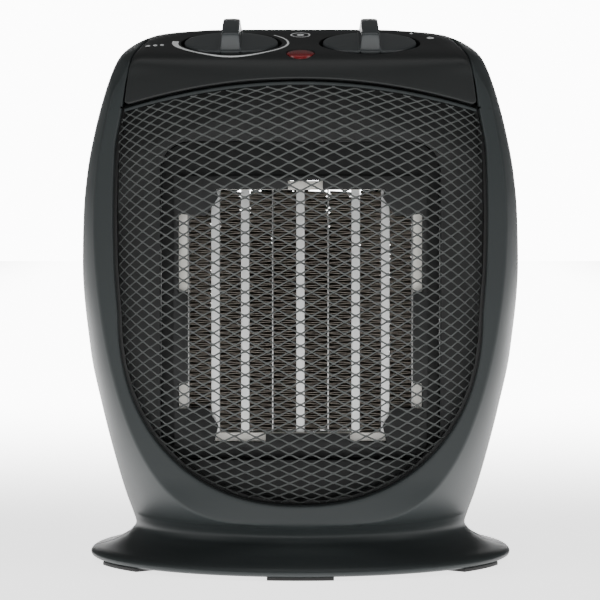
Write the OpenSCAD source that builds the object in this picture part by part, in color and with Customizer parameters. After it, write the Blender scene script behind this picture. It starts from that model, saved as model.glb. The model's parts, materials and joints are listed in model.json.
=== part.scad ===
// Portable ceramic space heater: a waisted plastic housing on a flared oval foot, with a domed
// expanded-metal grille in front, a PTC heating stack and an axial fan inside, and two rotary
// controls on a sloping panel at the top. Front is -Y, up is +Z, and the origin is on the floor
// under the middle of the body. All lengths are in millimetres.

/* [Housing] */
// Widest point of the housing, side to side
body_w = 181; // [176:1:186]
// Height of the housing's crown above the floor
body_h = 220.5; // [220.5:0.1:220.5]
// Wall thickness of the housing
wall = 2.5; // [2:0.1:2.8]
// Fore-and-aft place of the joint between the front and rear housings
parting_y = 4; // [3:0.5:5]
// Visible gap between panels
gap = 0.3; // [0.2:0.05:0.5]

/* [Controls] */
// Slope of the control panel, in degrees
panel_tilt = 13.98; // [13.98:0.01:13.98]
// Distance of each knob's axis from the middle
knob_x = 28; // [27:0.5:29]
// Radius of the knob's disc
knob_r = 19; // [18:0.25:19.5]
// Height of the knob's grip above the panel
grip_h = 8.2; // [7:0.1:9]

/* [Heating element] */
// Width of the finned stack
stack_w = 91; // [91:1:91]
// Height of the finned stack
stack_h = 98; // [94:1:100]
// Depth of the finned stack
stack_d = 15; // [12:0.5:15]
// Vertical pitch of the corrugated fins
fin_pitch = 3; // [2:0.25:3.5]
// Thickness of the fin strip
fin_t = 0.3; // [0.25:0.05:0.5]

/* [Grille] */
// Long way of one mesh opening, bond to bond
mesh_lwd = 10; // [9:0.5:12]
// Short way of one mesh opening
mesh_swd = 5; // [4.4:0.2:6]
// Width of a mesh strand
strand = 0.9; // [0.7:0.05:1.2]

/* [Fan] */
// Number of fan blades
blade_count = 7; // [5:1:9]
// Radius of the fan over its blade tips
fan_r = 51.5; // [48:0.5:52]

/* [Hidden] */
$fn = 64;

charcoal = "#343838";
black = "#181a1a";
cream = "#e6e4dc";
steel = "#a9acae";
copper = "#b06a3b";
eps = 0.01;
half_w = body_w / 2;
fan_z = 110;               // height of the fan's axis and of the duct's middle
stack_z = 105.6;           // height of the middle of the finned stack
stack_y = -44;             // front face of the finned stack
duct_w = 112.6;
duct_h = 128.4;
duct_corner = 12;
duct_wall = 2;
plate_y = -50;             // front face of the outlet plate
plate_t = 2;
joint_y = -24;             // where the outlet plate's duct meets the fan shroud
orifice_y = 6;             // front face of the shroud's orifice plate
orifice_r = 53.5;
ring_end_y = 34;
panel_y = -35;             // the knobs' axes meet the panel's surface here
panel_z = 214;
cup_r = knob_r + 1.4;      // recess that each knob sits in
cup_depth = 5.5;
cup_wall = 1.2;
shaft_r = 3;
rim_z = 1.6;               // underside of the housing's rim, which the feet stand below
plunger_x = 30;
plunger_y = 12;
inlet_x = -24;            // cord inlet at the back
inlet_z = 26;

// ---- smooth curves -------------------------------------------------------------------------

// Index of the span of table t that holds v.
function span(t, v, i = 0) = i >= len(t) - 2 || v < t[i + 1][0] ? i : span(t, v, i + 1);

function secant(t, i) = (t[i + 1][1] - t[i][1]) / (t[i + 1][0] - t[i][0]);

// Slope at a knot, levelled where the curve turns, so that it never overshoots.
function knot_slope(t, i) =
    i == 0 ? secant(t, 0)
    : i == len(t) - 1 ? secant(t, i - 1)
    : let (a = secant(t, i - 1), b = secant(t, i)) a * b <= 0 ? 0 : 2 * a * b / (a + b);

// Smooth curve through the points of table t, held level outside them.
function curve(t, v) =
    v <= t[0][0] ? t[0][1]
    : v >= t[len(t) - 1][0] ? t[len(t) - 1][1]
    : let (i = span(t, v), h = t[i + 1][0] - t[i][0], u = (v - t[i][0]) / h)
      t[i][1] * (2 * u ^ 3 - 3 * u ^ 2 + 1) + t[i + 1][1] * (3 * u ^ 2 - 2 * u ^ 3)
      + h * knot_slope(t, i) * (u ^ 3 - 2 * u ^ 2 + u) + h * knot_slope(t, i + 1) * (u ^ 3 - u ^ 2);

function smooth(a, b, v) = let (u = min(1, max(0, (v - a) / (b - a)))) u * u * (3 - 2 * u);

// ---- housing shape --------------------------------------------------------------------------

// Half-width of the silhouette at each height, as a share of the widest.
SIDE = [
    [1.6, 0.9525], [2.4, 0.9669], [3.4, 0.9702], [4.6, 0.9613], [5.6, 0.9348], [6.7, 0.8884],
    [8.6, 0.8376], [11.4, 0.7884], [15.2, 0.7613], [20, 0.7757], [28.4, 0.8077], [40.4, 0.8453],
    [67.8, 0.9171], [88.7, 0.9646], [124, 1], [145, 0.9945], [161.7, 0.9768], [179.2, 0.9392],
    [195.5, 0.8884], [205.7, 0.8464], [210.2, 0.8177], [214, 0.7713], [218.1, 0.6785],
    [219.4, 0.5967], [220.5, 0.442]
];
// Front surface on the centre line at each height.
FRONT = [
    [1.6, -72.8], [2.4, -74.1], [3.4, -74.5], [4.6, -73.8], [5.8, -71.8], [7.2, -68.4], [9, -64.2],
    [11.4, -60.3], [13.5, -57.6], [15.8, -56.9], [17.6, -58], [19, -60], [20.4, -62.1], [23, -63],
    [40, -64], [75, -65.4], [110, -66], [145, -65.5], [180, -64], [199, -62.6], [203, -61.8],
    [206, -59.8], [208, -56.6], [209.5, -53.1], [214, -35], [220, -10.9], [220.5, -8.9]
];
// Back surface on the centre line at each height.
BACK = [
    [1.6, 72.8], [2.4, 74.1], [3.4, 74.5], [4.6, 73.8], [5.8, 71.8], [7.2, 68.6], [9, 65.2],
    [11.4, 62.4], [15, 60.2], [22, 60], [40, 61.5], [80, 64], [120, 65], [160, 64], [185, 61],
    [200, 56.5], [208, 52], [214, 46], [218, 39], [220.5, 28]
];
// Half-width of the front face between its two edges, above the round bottom of the bezel.
FACE = [
    [140, 82], [150, 81.8], [160, 81], [170, 79.7], [184.4, 77], [195, 74.6], [203, 71], [208, 67],
    [212, 62], [214, 59], [216, 55.5], [218, 50], [219.5, 43], [220.5, 34]
];
brim_z = 5.6;              // the inner surface hangs straight down below the foot's brim
face_low = 20.4;
face_turn = 140;
face_drop_power = 1.7;
face_width_power = 0.262;
least_face = 8;

// Half-width of the front face at height z.
function face(z) =
    z <= face_low ? least_face
    : z >= face_turn ? curve(FACE, z)
    : let (fall = (face_turn - z) / (face_turn - face_low))
      max(least_face, FACE[0][1] * (1 - fall ^ face_drop_power) ^ face_width_power);

// How much lower the inner surface copies the outer one where that lies nearly flat.
function drop(z) = wall * (smooth(188, 205, z) + 1 - smooth(8, 14, z));

function inset(z) = wall - 0.5 * drop(z);

// One level of the housing's surface as points [x, y, z], anticlockwise seen from above.
function level(z, inner) =
    let (
        zs = inner ? max(z + drop(z), brim_z) : z, k = inner ? inset(z) : 0,
        s = half_w * curve(SIDE, zs) - k, f = min(face(zs), s / 0.96 - 3) - k * 0.6,
        yc = curve(FRONT, zs) + k, yb = curve(BACK, zs) - k, m = parting_y,
        bow = 0.0006 * smooth(22, 40, zs) * (1 - smooth(199, 209, zs)), yf = yc + bow * f * f,
        p = 2 / (2.3 + 0.5 * smooth(10, 40, zs)),
        half = concat(
            [for (i = [0:3]) let (x = f * i / 4) [x, yc + bow * x * x]],
            [for (a = [0:12.857:89]) [f + (s - f) * sin(a), m - (m - yf) * cos(a)]],
            [for (a = [0:9:81]) [s * cos(a) ^ p, m + (yb - m) * sin(a) ^ p]], [[0, yb]])
    )
    concat([for (q = half) [q[0], q[1], z]],
           [for (i = [len(half) - 2:-1:1]) [-half[i][0], half[i][1], z]]);

LEVELS = [
    1.6, 2.4, 3.4, 4.6, 5.6, 6.7, 8.6, 11.4, 15.2, 17.6, 19, 20.4, 21.6, 24, 29, 36, 48, 65, 88, 108,
    128, 150, 170, 186, 196, 202, 206, 208, 209.8, 212, 214.5, 217, 219, 220.5
];

// Closed solid through a stack of levels.
module loft(rows) {
    n = len(rows[0]);
    last = (len(rows) - 1) * n;
    polyhedron(
        [for (r = rows) each r],
        concat([[for (i = [0:n - 1]) i]], [[for (i = [n - 1:-1:0]) last + i]],
               [for (r = [0:len(rows) - 2], i = [0:n - 1])
                   let (a = r * n + i, b = r * n + (i + 1) % n) each [[a, a + n, b + n], [a, b + n, b]]]),
        convexity = 6);
}

module outer_body() loft([for (z = LEVELS) level(z, false)]);

module inner_body() {
    top = body_h - wall;
    loft(concat([[for (q = level(rim_z, true)) [q[0], q[1], rim_z - 1]]],
                [for (z = LEVELS) if (z < top - 1) level(z, true)], [level(top, true)]));
}

// Half-width of the grille opening at height z.
OPENING = [[105, 72.5], [125, 74], [145, 74.4], [169, 73.8], [187.7, 70.7], [207, 67.5]];
open_low = 28.8;
open_turn = 105;
open_power = 2.2;
arch_z = 198.7;
function arch(x) = arch_z - 0.0022 * x * x;
function open_half(z) =
    z >= open_turn ? curve(OPENING, z)
    : OPENING[0][1] * (1 - ((open_turn - z) / (open_turn - open_low)) ^ open_power) ^ (1 / open_power);

// Outline of the grille opening in (x, z), grown by side at the sides and foot and top at the arch.
function opening_outline(side = 0, top = 0) =
    let (
        steps = 12,
        low = [for (i = [1:steps]) let (a = 90 * i / steps, z = open_turn - (open_turn - open_low) * cos(a))
                  [(open_half(z) + side), z - side * cos(a)]],
        up = [for (z = [125, 145, 165, 180, 187.7]) [open_half(z) + side, z]],
        right = concat([[0, open_low - side]], low, up),
        roof = [for (x = [60:-12:-60]) [x, arch(x) + top]]
    )
    concat([for (q = right) [q[0], min(q[1], arch(q[0]) + top)]], roof,
           [for (i = [len(right) - 1:-1:1]) [-right[i][0], min(right[i][1], arch(right[i][0]) + top)]]);

// Stands a flat (x, z) shape up and gives it the depth from y0 to y1.
module upright(y0, y1) translate([0, y1, 0]) rotate([90, 0, 0]) linear_extrude(y1 - y0) children();

// Prism that the control panel fills, seen from the front, wider by grow all round.
module panel_prism(grow) {
    edge = [[187.7, 70.7], [207, 67.5], [220, 60]];
    sides = [for (z = [186, 195, 207, 214, 225]) [curve(edge, z) + grow, z]];
    foot = [for (x = [60:-12:-60]) [x, arch(x) - grow]];
    corner = arch(70.7) - grow;
    upright(-90, -5 + grow)
        polygon(concat([[70.7 + grow, corner]], [for (i = [1:4]) sides[i]],
                       [for (i = [4:-1:1]) [-sides[i][0], sides[i][1]]], [[-70.7 - grow, corner]],
                       [for (i = [len(foot) - 1:-1:0]) foot[i]]));
}

// Tubes behind the bezel that take the grille screws.
boss_places = [[-79, 140], [79, 140], [-75, 84], [75, 84]];
boss_r = 2.7;

module front_housing() {
    color(charcoal)
    union() {
        difference() {
            outer_body();
            inner_body();
            translate([-100, parting_y, -1]) cube([200, 100, 230]);
            upright(-90, -48) polygon(opening_outline());
            panel_prism(gap);
        }
        for (b = boss_places)
            translate([b[0], -50.2, b[1]]) rotate([90, 0, 0])
                difference() {
                    cylinder(h = 9.4, r = boss_r);
                    translate([0, 0, -eps]) cylinder(h = 7, r = 1.1);
                }
    }
}

// ---- rear housing ---------------------------------------------------------------------------

grip_w = 76;               // hand-hold recess
grip_z0 = 180;
grip_z1 = 202;
grip_y = 30;
pillar_places = [[-64, 60], [64, 60], [-64, 172], [64, 172]];
pillar_end_y = 36;
slot_h = 3.6;
slot_pitch = 7;
slot_region_r = 51;

module intake_slots() {
    for (i = [-7:7], side = [-1, 1]) {
        h = i * slot_pitch;
        reach = sqrt(slot_region_r ^ 2 - h ^ 2);
        if (reach > 14)
            translate([side > 0 ? 2.5 : -reach, 40, fan_z + h - slot_h / 2]) cube([reach - 2.5, 40, slot_h]);
    }
}

module rear_housing() {
    color(charcoal)
    difference() {
        union() {
            difference() {
                outer_body();
                inner_body();
                translate([-100, -100, -1]) cube([200, 100 + parting_y + gap / 4, 230]);
            }
            intersection() {
                outer_body();
                union() {
                    translate([-grip_w / 2 - 2.2, grip_y - 2.2, grip_z0 - 2.2])
                        cube([grip_w + 4.4, 60, grip_z1 - grip_z0 + 4.4]);
                    for (p = pillar_places)
                        translate([p[0], pillar_end_y + 0.2, p[1]]) rotate([-90, 0, 0])
                            cylinder(h = 40, r = 5);
                }
            }
        }
        translate([-grip_w / 2, grip_y, grip_z0]) cube([grip_w, 60, grip_z1 - grip_z0]);
        for (p = pillar_places)
            translate([p[0], 0, p[1]]) rotate([-90, 0, 0]) {
                translate([0, 0, pillar_end_y - 1]) cylinder(h = 60, r = 1.8);
                translate([0, 0, pillar_end_y + 4]) cylinder(h = 60, r = 3.4);
            }
        intake_slots();
        translate([inlet_x, 40, inlet_z]) rotate([-90, 0, 0]) cylinder(h = 40, r = 5.5);
    }
}

// ---- base -----------------------------------------------------------------------------------

base_screw_places = [[-50, -26], [50, -26], [-50, 36], [50, 36]];
base_t = 2;
ledge_t = 1;               // edge of the base plate that fits inside the rim

// Arc of an oval with half-axes rx and ry.
function oval(rx, ry, from, to, step) = [for (a = [from:step:to]) [rx * cos(a), ry * sin(a)]];

module base_outline(share) polygon([for (q = level(rim_z, true)) [q[0], q[1]] * share]);

module base_plate() {
    color(black)
    difference() {
        union() {
            translate([0, 0, rim_z]) linear_extrude(ledge_t) base_outline(0.99);
            translate([0, 0, rim_z]) linear_extrude(base_t) base_outline(0.97);
            for (p = base_screw_places)
                translate([p[0], p[1], rim_z]) cylinder(h = 9, r = 4.2);
        }
        for (p = base_screw_places)
            translate([p[0], p[1], 0]) {
                cylinder(h = 20, r = 1.7);
                cylinder(h = rim_z + 4, r = 3.3);
            }
        translate([plunger_x, plunger_y, 0]) cylinder(h = 10, r = 6.8);
        for (i = [-4:4]) translate([-22, i * 6 - 1.5, 0]) cube([30, 3, 10]);
    }
}

// Rubber pad under the rim between two bearings of the oval, seen from above.
module foot(from, to) {
    color(black)
    linear_extrude(rim_z)
        polygon(concat(oval(85.6, 72.4, from, to, 3),
                       [for (i = [0:(to - from) / 3]) let (a = to - 3 * i) [76 * cos(a), 63 * sin(a)]]));
}

module foot_front() foot(261, 279);
module foot_left() foot(198, 219);
module foot_right() foot(321, 342);
module foot_rear() foot(81, 99);

// ---- grille ---------------------------------------------------------------------------------

dome_r = 550;
dome_y = -65;
dome_z = 113;
sheet_t = 0.9;

module dome(push) translate([0, dome_y + dome_r, dome_z]) sphere(dome_r - push, $fn = 200);

// Whether a point lies in the grille opening, grown by rim.
function in_opening(x, z, rim) =
    z > open_low - rim && z < arch(x) + rim && abs(x) < open_half(max(z, open_low)) + rim;

// Diamond openings in staggered columns, wherever a whole one fits.
module mesh_openings() {
    columns = ceil(half_w / mesh_lwd) * 2;
    rows = ceil(90 / mesh_swd);
    lx = mesh_lwd / 2 - strand * 1.15;
    lz = mesh_swd / 2 - strand * 0.55;
    rim = 0.6;
    upright(-75, -45)
        for (i = [-columns:columns], j = [-rows:rows]) {
            x = i * mesh_lwd / 2;
            z = dome_z + (j + (i % 2 == 0 ? 0 : 0.5)) * mesh_swd;
            if (in_opening(abs(x) + lx, z, rim) && in_opening(x, z - lz, rim) && in_opening(x, z + lz, rim))
                translate([x, z]) polygon([[-lx, 0], [0, -lz], [lx, 0], [0, lz]]);
        }
}

module mesh_grille() {
    color(black)
    difference() {
        intersection() {
            difference() {
                dome(0);
                dome(sheet_t);
            }
            upright(-75, -45) polygon(opening_outline(1.6, 1));
        }
        mesh_openings();
    }
}

module grille_frame() {
    color(black)
    difference() {
        intersection() {
            upright(-75, plate_y) polygon(opening_outline(1.6, 1));
            dome(sheet_t);
        }
        upright(-80, -45) polygon(opening_outline(-1.2, -1.2));
    }
}

// ---- air duct -------------------------------------------------------------------------------

// Rectangle with round corners, centred on the duct's axis.
module round_rect(w, h, r) {
    translate([0, fan_z]) {
        square([w - 2 * r, h], center = true);
        square([w, h - 2 * r], center = true);
        for (x = [-1, 1], z = [-1, 1]) translate([x * (w / 2 - r), z * (h / 2 - r)]) circle(r);
    }
}

module duct_tube(y0, y1) {
    difference() {
        upright(y0, y1) round_rect(duct_w + 2 * duct_wall, duct_h + 2 * duct_wall, duct_corner + duct_wall);
        upright(y0 - 1, y1 + 1) round_rect(duct_w, duct_h, duct_corner);
    }
}

ear_places = [[-63, 70], [63, 70], [-63, 150], [63, 150]];
pillar_r = 4.4;

// Ears that join the two halves of the duct, with their screw holes.
module ears(y0, hole_r) {
    for (e = ear_places)
        translate([0, y0 + 2, e[1]]) rotate([90, 0, 0])
            difference() {
                union() {
                    translate([e[0], 0, 0]) cylinder(h = 2, r = 4);
                    translate([e[0] > 0 ? duct_w / 2 + 1 : e[0], -4, 0])
                        cube([abs(e[0]) - duct_w / 2 - 1, 8, 2]);
                }
                translate([e[0], 0, -1]) cylinder(h = 4, r = hole_r);
            }
}

module outlet_plate() {
    color(black)
    difference() {
        union() {
            upright(plate_y, plate_y + plate_t) polygon(opening_outline(6.4, 1));
            upright(plate_y, joint_y)
                round_rect(duct_w + 2 * duct_wall, duct_h + 2 * duct_wall, duct_corner + duct_wall);
            ears(joint_y - 2, 1.7);
            for (p = pillar_places)
                translate([p[0], pillar_end_y, p[1]]) rotate([90, 0, 0])
                    cylinder(h = pillar_end_y - plate_y - 1, r = pillar_r);
        }
        upright(plate_y - 1, joint_y + 1) round_rect(duct_w, duct_h, duct_corner);
        for (b = boss_places)
            translate([b[0], plate_y - 1, b[1]]) rotate([-90, 0, 0]) cylinder(h = 4, r = 1.3);
        for (p = pillar_places)
            translate([p[0], pillar_end_y + 1, p[1]]) rotate([90, 0, 0]) cylinder(h = 20, r = 1.2);
        for (s = [-1, 1]) translate([s * tab_x, tab_y, fan_z + 50]) cylinder(h = 30, r = 2.4);
    }
}

post_places = [[-43, -49], [43, -49], [-43, 49], [43, 49]];
bracket_y = 2.4;
bracket_t = 1.2;

module fan_shroud() {
    color(black)
    difference() {
        union() {
            duct_tube(joint_y, orifice_y);
            upright(orifice_y, orifice_y + 2)
                round_rect(duct_w + 2 * duct_wall, duct_h + 2 * duct_wall, duct_corner + duct_wall);
            translate([0, ring_end_y, fan_z]) rotate([90, 0, 0])
                cylinder(h = ring_end_y - orifice_y, r = orifice_r + 2);
            ears(joint_y, 1.1);
            for (p = post_places)
                translate([p[0], orifice_y + 1, fan_z + p[1]]) rotate([90, 0, 0])
                    cylinder(h = orifice_y + 1 - bracket_y - bracket_t, r = 4);
        }
        translate([0, ring_end_y + 1, fan_z]) rotate([90, 0, 0]) cylinder(h = 40, r = orifice_r, $fn = 128);
        for (p = post_places)
            translate([p[0], orifice_y + 1, fan_z + p[1]]) rotate([90, 0, 0]) cylinder(h = 8, r = 1.1);
    }
}

// ---- heating element ------------------------------------------------------------------------

bar_w = 3.4;
electrode_t = 0.6;
tab_x = 11.2;              // the two live electrodes, whose tabs stand up through the frame
tab_y = stack_y + 6.15;
stack_low = stack_z - stack_h / 2;
stack_top = stack_z + stack_h / 2;
stack_back = stack_y + stack_d;

// Places of the rods and of the electrode plates between the fins.
bar_places = [-34.3, -22.3, 0, 22.3, 34.3];
electrode_places = [-stack_w / 2 + electrode_t / 2, -tab_x, tab_x, stack_w / 2 - electrode_t / 2];

// Left and right faces of each rod and plate, from left to right.
function faces(x, w) = [x - w / 2, x + w / 2];
uprights = [
    faces(electrode_places[0], electrode_t), faces(bar_places[0], bar_w), faces(bar_places[1], bar_w),
    faces(electrode_places[1], electrode_t), faces(bar_places[2], bar_w),
    faces(electrode_places[2], electrode_t), faces(bar_places[3], bar_w), faces(bar_places[4], bar_w),
    faces(electrode_places[3], electrode_t)
];

// Corrugated strip as one closed outline: up along one side of the sheet and down the other.
module corrugation(x0, x1) {
    n = floor((stack_h - 2) / fin_pitch);
    low = stack_z - n * fin_pitch / 2;
    near = x0 + 0.05;
    far = x1 - 0.05;
    rise = fin_pitch / 2;
    up = [for (i = [0:n - 1]) let (z = low + i * fin_pitch)
             each [[near, z], [far - fin_t, z + rise - fin_t], [far - fin_t, z + rise],
                   [near, z + fin_pitch - fin_t]]];
    down = [for (i = [n - 1:-1:0]) let (z = low + i * fin_pitch)
               each [[near + fin_t, z + fin_pitch], [far, z + rise + fin_t], [far, z + rise - 2 * fin_t],
                     [near + fin_t, z]]];
    upright(stack_y + 0.3, stack_back - 0.3) polygon(concat(up, down));
}

module radiator_fins() {
    color("#5b5a56") for (i = [0:len(uprights) - 2]) corrugation(uprights[i][1], uprights[i + 1][0]);
}

module ptc_bars() {
    color("#d4d6d4")
    for (x = bar_places)
        translate([x - bar_w / 2, stack_y, stack_low]) cube([bar_w, stack_d, stack_h]);
}

module electrode_plates() {
    color(steel)
    for (x = electrode_places) {
        translate([x - electrode_t / 2, stack_y, stack_low]) cube([electrode_t, stack_d, stack_h]);
        if (abs(x) == tab_x)
            translate([x - electrode_t / 2, tab_y - 3.15, stack_top]) cube([electrode_t, 6.3, 12]);
    }
}

frame_w = 3.6;
frame_out_w = stack_w + 2 * frame_w;
frame_out_h = stack_h + 2 * frame_w;

// Heat-proof cream frame round the stack, with slots that the electrode tabs leave by.
module element_frame() {
    color(cream)
    difference() {
        translate([-frame_out_w / 2, stack_y - 0.4, stack_z - frame_out_h / 2])
            cube([frame_out_w, stack_d + 0.8, frame_out_h]);
        translate([-stack_w / 2 - 0.05, stack_y - 1, stack_low - 0.05])
            cube([stack_w + 0.1, stack_d + 2, stack_h + 0.1]);
        for (s = [-1, 1]) translate([s * tab_x - 0.5, tab_y - 3.35, stack_top - 1]) cube([1, 6.7, 10]);
    }
}

retainer_y = -47;
retainer_t = 2;

// Black clamp over the frame's corners and edges, seen from the front.
module retainer_face() {
    x = frame_out_w / 2;
    for (sx = [-1, 1], sz = [-1, 1])
        translate([0, stack_z]) scale([sx, sz])
            polygon([[x + 2, stack_h / 2 - 9.5], [x - 11, stack_h / 2 - 10.5], [x - 16, stack_h / 2 - 3],
                     [x - 14, frame_out_h / 2 + 2], [x + 2, frame_out_h / 2 + 2]]);
    for (sx = [-1, 1])
        translate([sx * x - (sx > 0 ? 3.7 : 2.3), stack_z - 29]) square([6, 37]);
    translate([-37, stack_top + 0.2]) square([32, frame_w + 1.8]);
    translate([9, stack_top + 0.2]) square([30, frame_w + 1.8]);
    translate([-14, stack_low - frame_w - 2]) square([34, frame_w + 1.8]);
}

module element_retainer() {
    color(black)
    union() {
        upright(retainer_y, retainer_y + retainer_t) retainer_face();
        difference() {
            upright(retainer_y, retainer_y + 6) round_rect(duct_w - 0.6, duct_h - 0.6, duct_corner - 0.3);
            upright(retainer_y - 1, retainer_y + 7)
                translate([0, stack_z]) square([frame_out_w + 0.4, frame_out_h + 0.4], center = true);
            upright(retainer_y - 1, retainer_y + 4)
                difference() {
                    round_rect(duct_w + 2, duct_h + 2, duct_corner);
                    translate([0, stack_z]) square([frame_out_w + 4, frame_out_h + 4], center = true);
                }
        }
    }
}

module thermal_cutout() {
    color(black)
    translate([-26, stack_back + 0.6, stack_top + 9]) rotate([-90, 0, 0]) {
        cylinder(h = 5, r = 7);
        translate([0, 0, 5]) cylinder(h = 2, r = 5.4);
        for (s = [-1, 1]) translate([s * 9.5 - 2.5, -2.4, 1.6]) cube([5, 4.8, 0.8]);
        translate([-4, -fan_z - duct_h / 2 + stack_top + 9, -1])
            cube([8, fan_z + duct_h / 2 - stack_top - 9, 1]);
    }
}

module thermal_fuse() {
    color("#c9b48a")
    translate([16, stack_y + 11, stack_top + frame_w + 2]) rotate([0, 90, 0]) {
        cylinder(h = 11, r = 2);
        translate([0, 0, -7]) cylinder(h = 25, r = 0.5, $fn = 24);
    }
}

// ---- motor and fan --------------------------------------------------------------------------

motor_y0 = -14;
motor_y1 = 0;
rotor_r = 13.5;
stator_r = 13.9;
motor_shaft_r = 1.6;
bolt_x = 20;

// Turns a shape drawn round +Z so that it runs along +Y from y0, on the fan's axis.
module on_axis(y0) translate([0, y0, fan_z]) rotate([-90, 0, 0]) children();

module motor_bracket() {
    color(steel)
    difference() {
        union() {
            for (s = [-1, 1])
                on_axis(bracket_y) rotate([0, 0, s * atan2(49, 43)])
                    translate([-68, -4.5, 0]) cube([136, 9, bracket_t]);
            on_axis(bracket_y) cylinder(h = bracket_t, r = 25);
        }
        on_axis(bracket_y - 1) cylinder(h = 4, r = 8);
        on_axis(bracket_y - 1) for (s = [-1, 1]) translate([s * bolt_x, 0, 0]) cylinder(h = 4, r = 1.7);
        for (p = post_places)
            translate([p[0], bracket_y - 1, fan_z + p[1]]) rotate([-90, 0, 0]) cylinder(h = 4, r = 1.6);
        for (s = [-1, 1])
            translate([s > 0 ? duct_w / 2 - 2 : -100, 0, 0]) cube([100 - duct_w / 2 + 2, 10, 250]);
    }
}

module motor_stator() {
    color(steel)
    difference() {
        translate([-25, motor_y0, fan_z - 40]) cube([50, motor_y1 - motor_y0, 60]);
        on_axis(motor_y0 - 1) cylinder(h = 20, r = stator_r);
        translate([-15, motor_y0 - 1, fan_z - 31]) cube([30, 20, 13]);
        for (s = [-1, 1])
            translate([s * bolt_x, motor_y0 - 1, fan_z]) rotate([-90, 0, 0]) cylinder(h = 20, r = 1.7);
    }
}

module motor_coil() {
    color(copper)
    difference() {
        translate([-13, motor_y0 - 6, fan_z - 46.5]) cube([26, 21.5, 25]);
        translate([-14, motor_y0 - 0.2, fan_z - 40.2]) cube([28, motor_y1 - motor_y0 + 0.4, 9.4]);
    }
}

// Bent strap that carries one bearing: a plate from y0 to y0 + 1.2 with feet reaching to y_foot.
module bearing_strap(y0, y_foot, bore) {
    low = min(y0, y_foot);
    high = max(y0 + 1.2, y_foot);
    difference() {
        union() {
            translate([-25, y0, fan_z - 7]) cube([50, 1.2, 14]);
            for (s = [-1, 1]) translate([s > 0 ? 16.5 : -25, low, fan_z - 7]) cube([8.5, high - low, 14]);
        }
        on_axis(low - 1) cylinder(h = high - low + 2, r = bore);
        for (s = [-1, 1])
            translate([s * bolt_x, low - 1, fan_z]) rotate([-90, 0, 0]) cylinder(h = high - low + 2, r = 1.7);
    }
}

module bearing_bracket_front() { color(steel) bearing_strap(-20, motor_y0, 4.5); }
module bearing_bracket_rear() { color(steel) bearing_strap(bracket_y - 1.2, motor_y1, 4.5); }

module bearing(y0) {
    color(copper)
    on_axis(y0) difference() {
        cylinder(h = 3.6, r = 4.5);
        translate([0, 0, -1]) cylinder(h = 6, r = motor_shaft_r + 0.04);
    }
}

module bearing_front() bearing(-21.2);
module bearing_rear() bearing(0.9);

module motor_rotor() {
    color(steel)
    on_axis(motor_y0 + 0.4) difference() {
        cylinder(h = 13.2, r = rotor_r);
        translate([0, 0, -1]) cylinder(h = 20, r = motor_shaft_r);
    }
}

module motor_shaft() { color(steel) on_axis(-22.5) cylinder(h = 54.5, r = motor_shaft_r); }

hub_r = 15;
hub_y = 9;
hub_len = 21;

module blade() {
    intersection() {
        rotate([58, 0, 0]) translate([0, -17, -0.9]) cube([fan_r + 2, 34, 1.8]);
        difference() {
            translate([0, 0, -8.6]) cylinder(h = 17.2, r = fan_r);
            translate([0, 0, -9]) cylinder(h = 18, r = hub_r - 1);
        }
    }
}

module fan_impeller() {
    color("#23272a")
    difference() {
        on_axis(hub_y) union() {
            difference() {
                cylinder(h = hub_len, r = hub_r);
                translate([0, 0, -eps]) cylinder(h = hub_len - 2, r = hub_r - 1.8);
            }
            cylinder(h = hub_len, r = 4);
            for (i = [0:blade_count - 1])
                rotate([0, 0, i * 360 / blade_count]) translate([0, 0, hub_len / 2]) blade();
        }
        on_axis(hub_y - 1) cylinder(h = hub_len + 2, r = motor_shaft_r);
    }
}

module fan_clip() {
    color(steel)
    on_axis(hub_y + hub_len + 0.05) difference() {
        cylinder(h = 0.8, r = 4);
        translate([0, 0, -1]) cylinder(h = 3, r = motor_shaft_r);
    }
}

// ---- controls -------------------------------------------------------------------------------

// Frame on the panel's surface: +Z is out of the panel, +Y runs up its slope.
module on_panel(x) translate([x, panel_y, panel_z]) rotate([panel_tilt, 0, 0]) children();

lens_v = -18.6;
lens_r = 5.6;

module control_panel() {
    color(black)
    difference() {
        union() {
            intersection() {
                difference() {
                    outer_body();
                    inner_body();
                }
                panel_prism(0);
            }
            for (x = [-knob_x, knob_x])
                on_panel(x) translate([0, 0, -cup_depth - 2])
                    cylinder(h = cup_depth + 1.2, r = cup_r + cup_wall);
        }
        for (x = [-knob_x, knob_x]) on_panel(x) {
            translate([0, 0, -cup_depth]) cylinder(h = 30, r = cup_r);
            translate([0, 0, -20]) cylinder(h = 20, r = 4.6);
        }
        on_panel(0) translate([0, lens_v, -10]) cylinder(h = 30, r = lens_r + 0.15);
    }
}

// Knob: disc and skirt in the recess, with a grip bar across it.
module knob() {
    difference() {
        union() {
            translate([0, 0, -3.6]) cylinder(h = 4.2, r = knob_r);
            translate([0, 0, 0.6]) cylinder(h = 0.8, r1 = knob_r, r2 = knob_r - 0.8);
            intersection() {
                cylinder(h = grip_h, r = knob_r - 0.2);
                rotate([90, 0, 90]) translate([0, 0, -3.6]) linear_extrude(7.2)
                    polygon([[-19, 0], [-18.4, 6.8], [-16.6, 7.9], [-8, grip_h], [8, grip_h - 0.6], [16, 6.6],
                             [18.6, 3.4], [19, 0]]);
            }
        }
        translate([0, 0, -5]) difference() {
            cylinder(h = 8, r = shaft_r);
            translate([-5, 1.8, -1]) cube([10, 5, 10]);
        }
    }
}

module d_shaft(low, high) {
    translate([0, 0, low]) intersection() {
        cylinder(h = high - low, r = shaft_r - 0.05);
        translate([-5, -5, -1]) cube([10, 6.75, high - low + 2]);
    }
}

module thermostat_knob() { color(black) on_panel(-knob_x) knob(); }
module mode_knob() { color(black) on_panel(knob_x) knob(); }

body_top = -cup_depth - 4.1;   // top of both switch bodies, below the recess's floor
floor_w = -cup_depth - 2;      // underside of the recess's floor
rod_r = shaft_r - 0.05;

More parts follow.
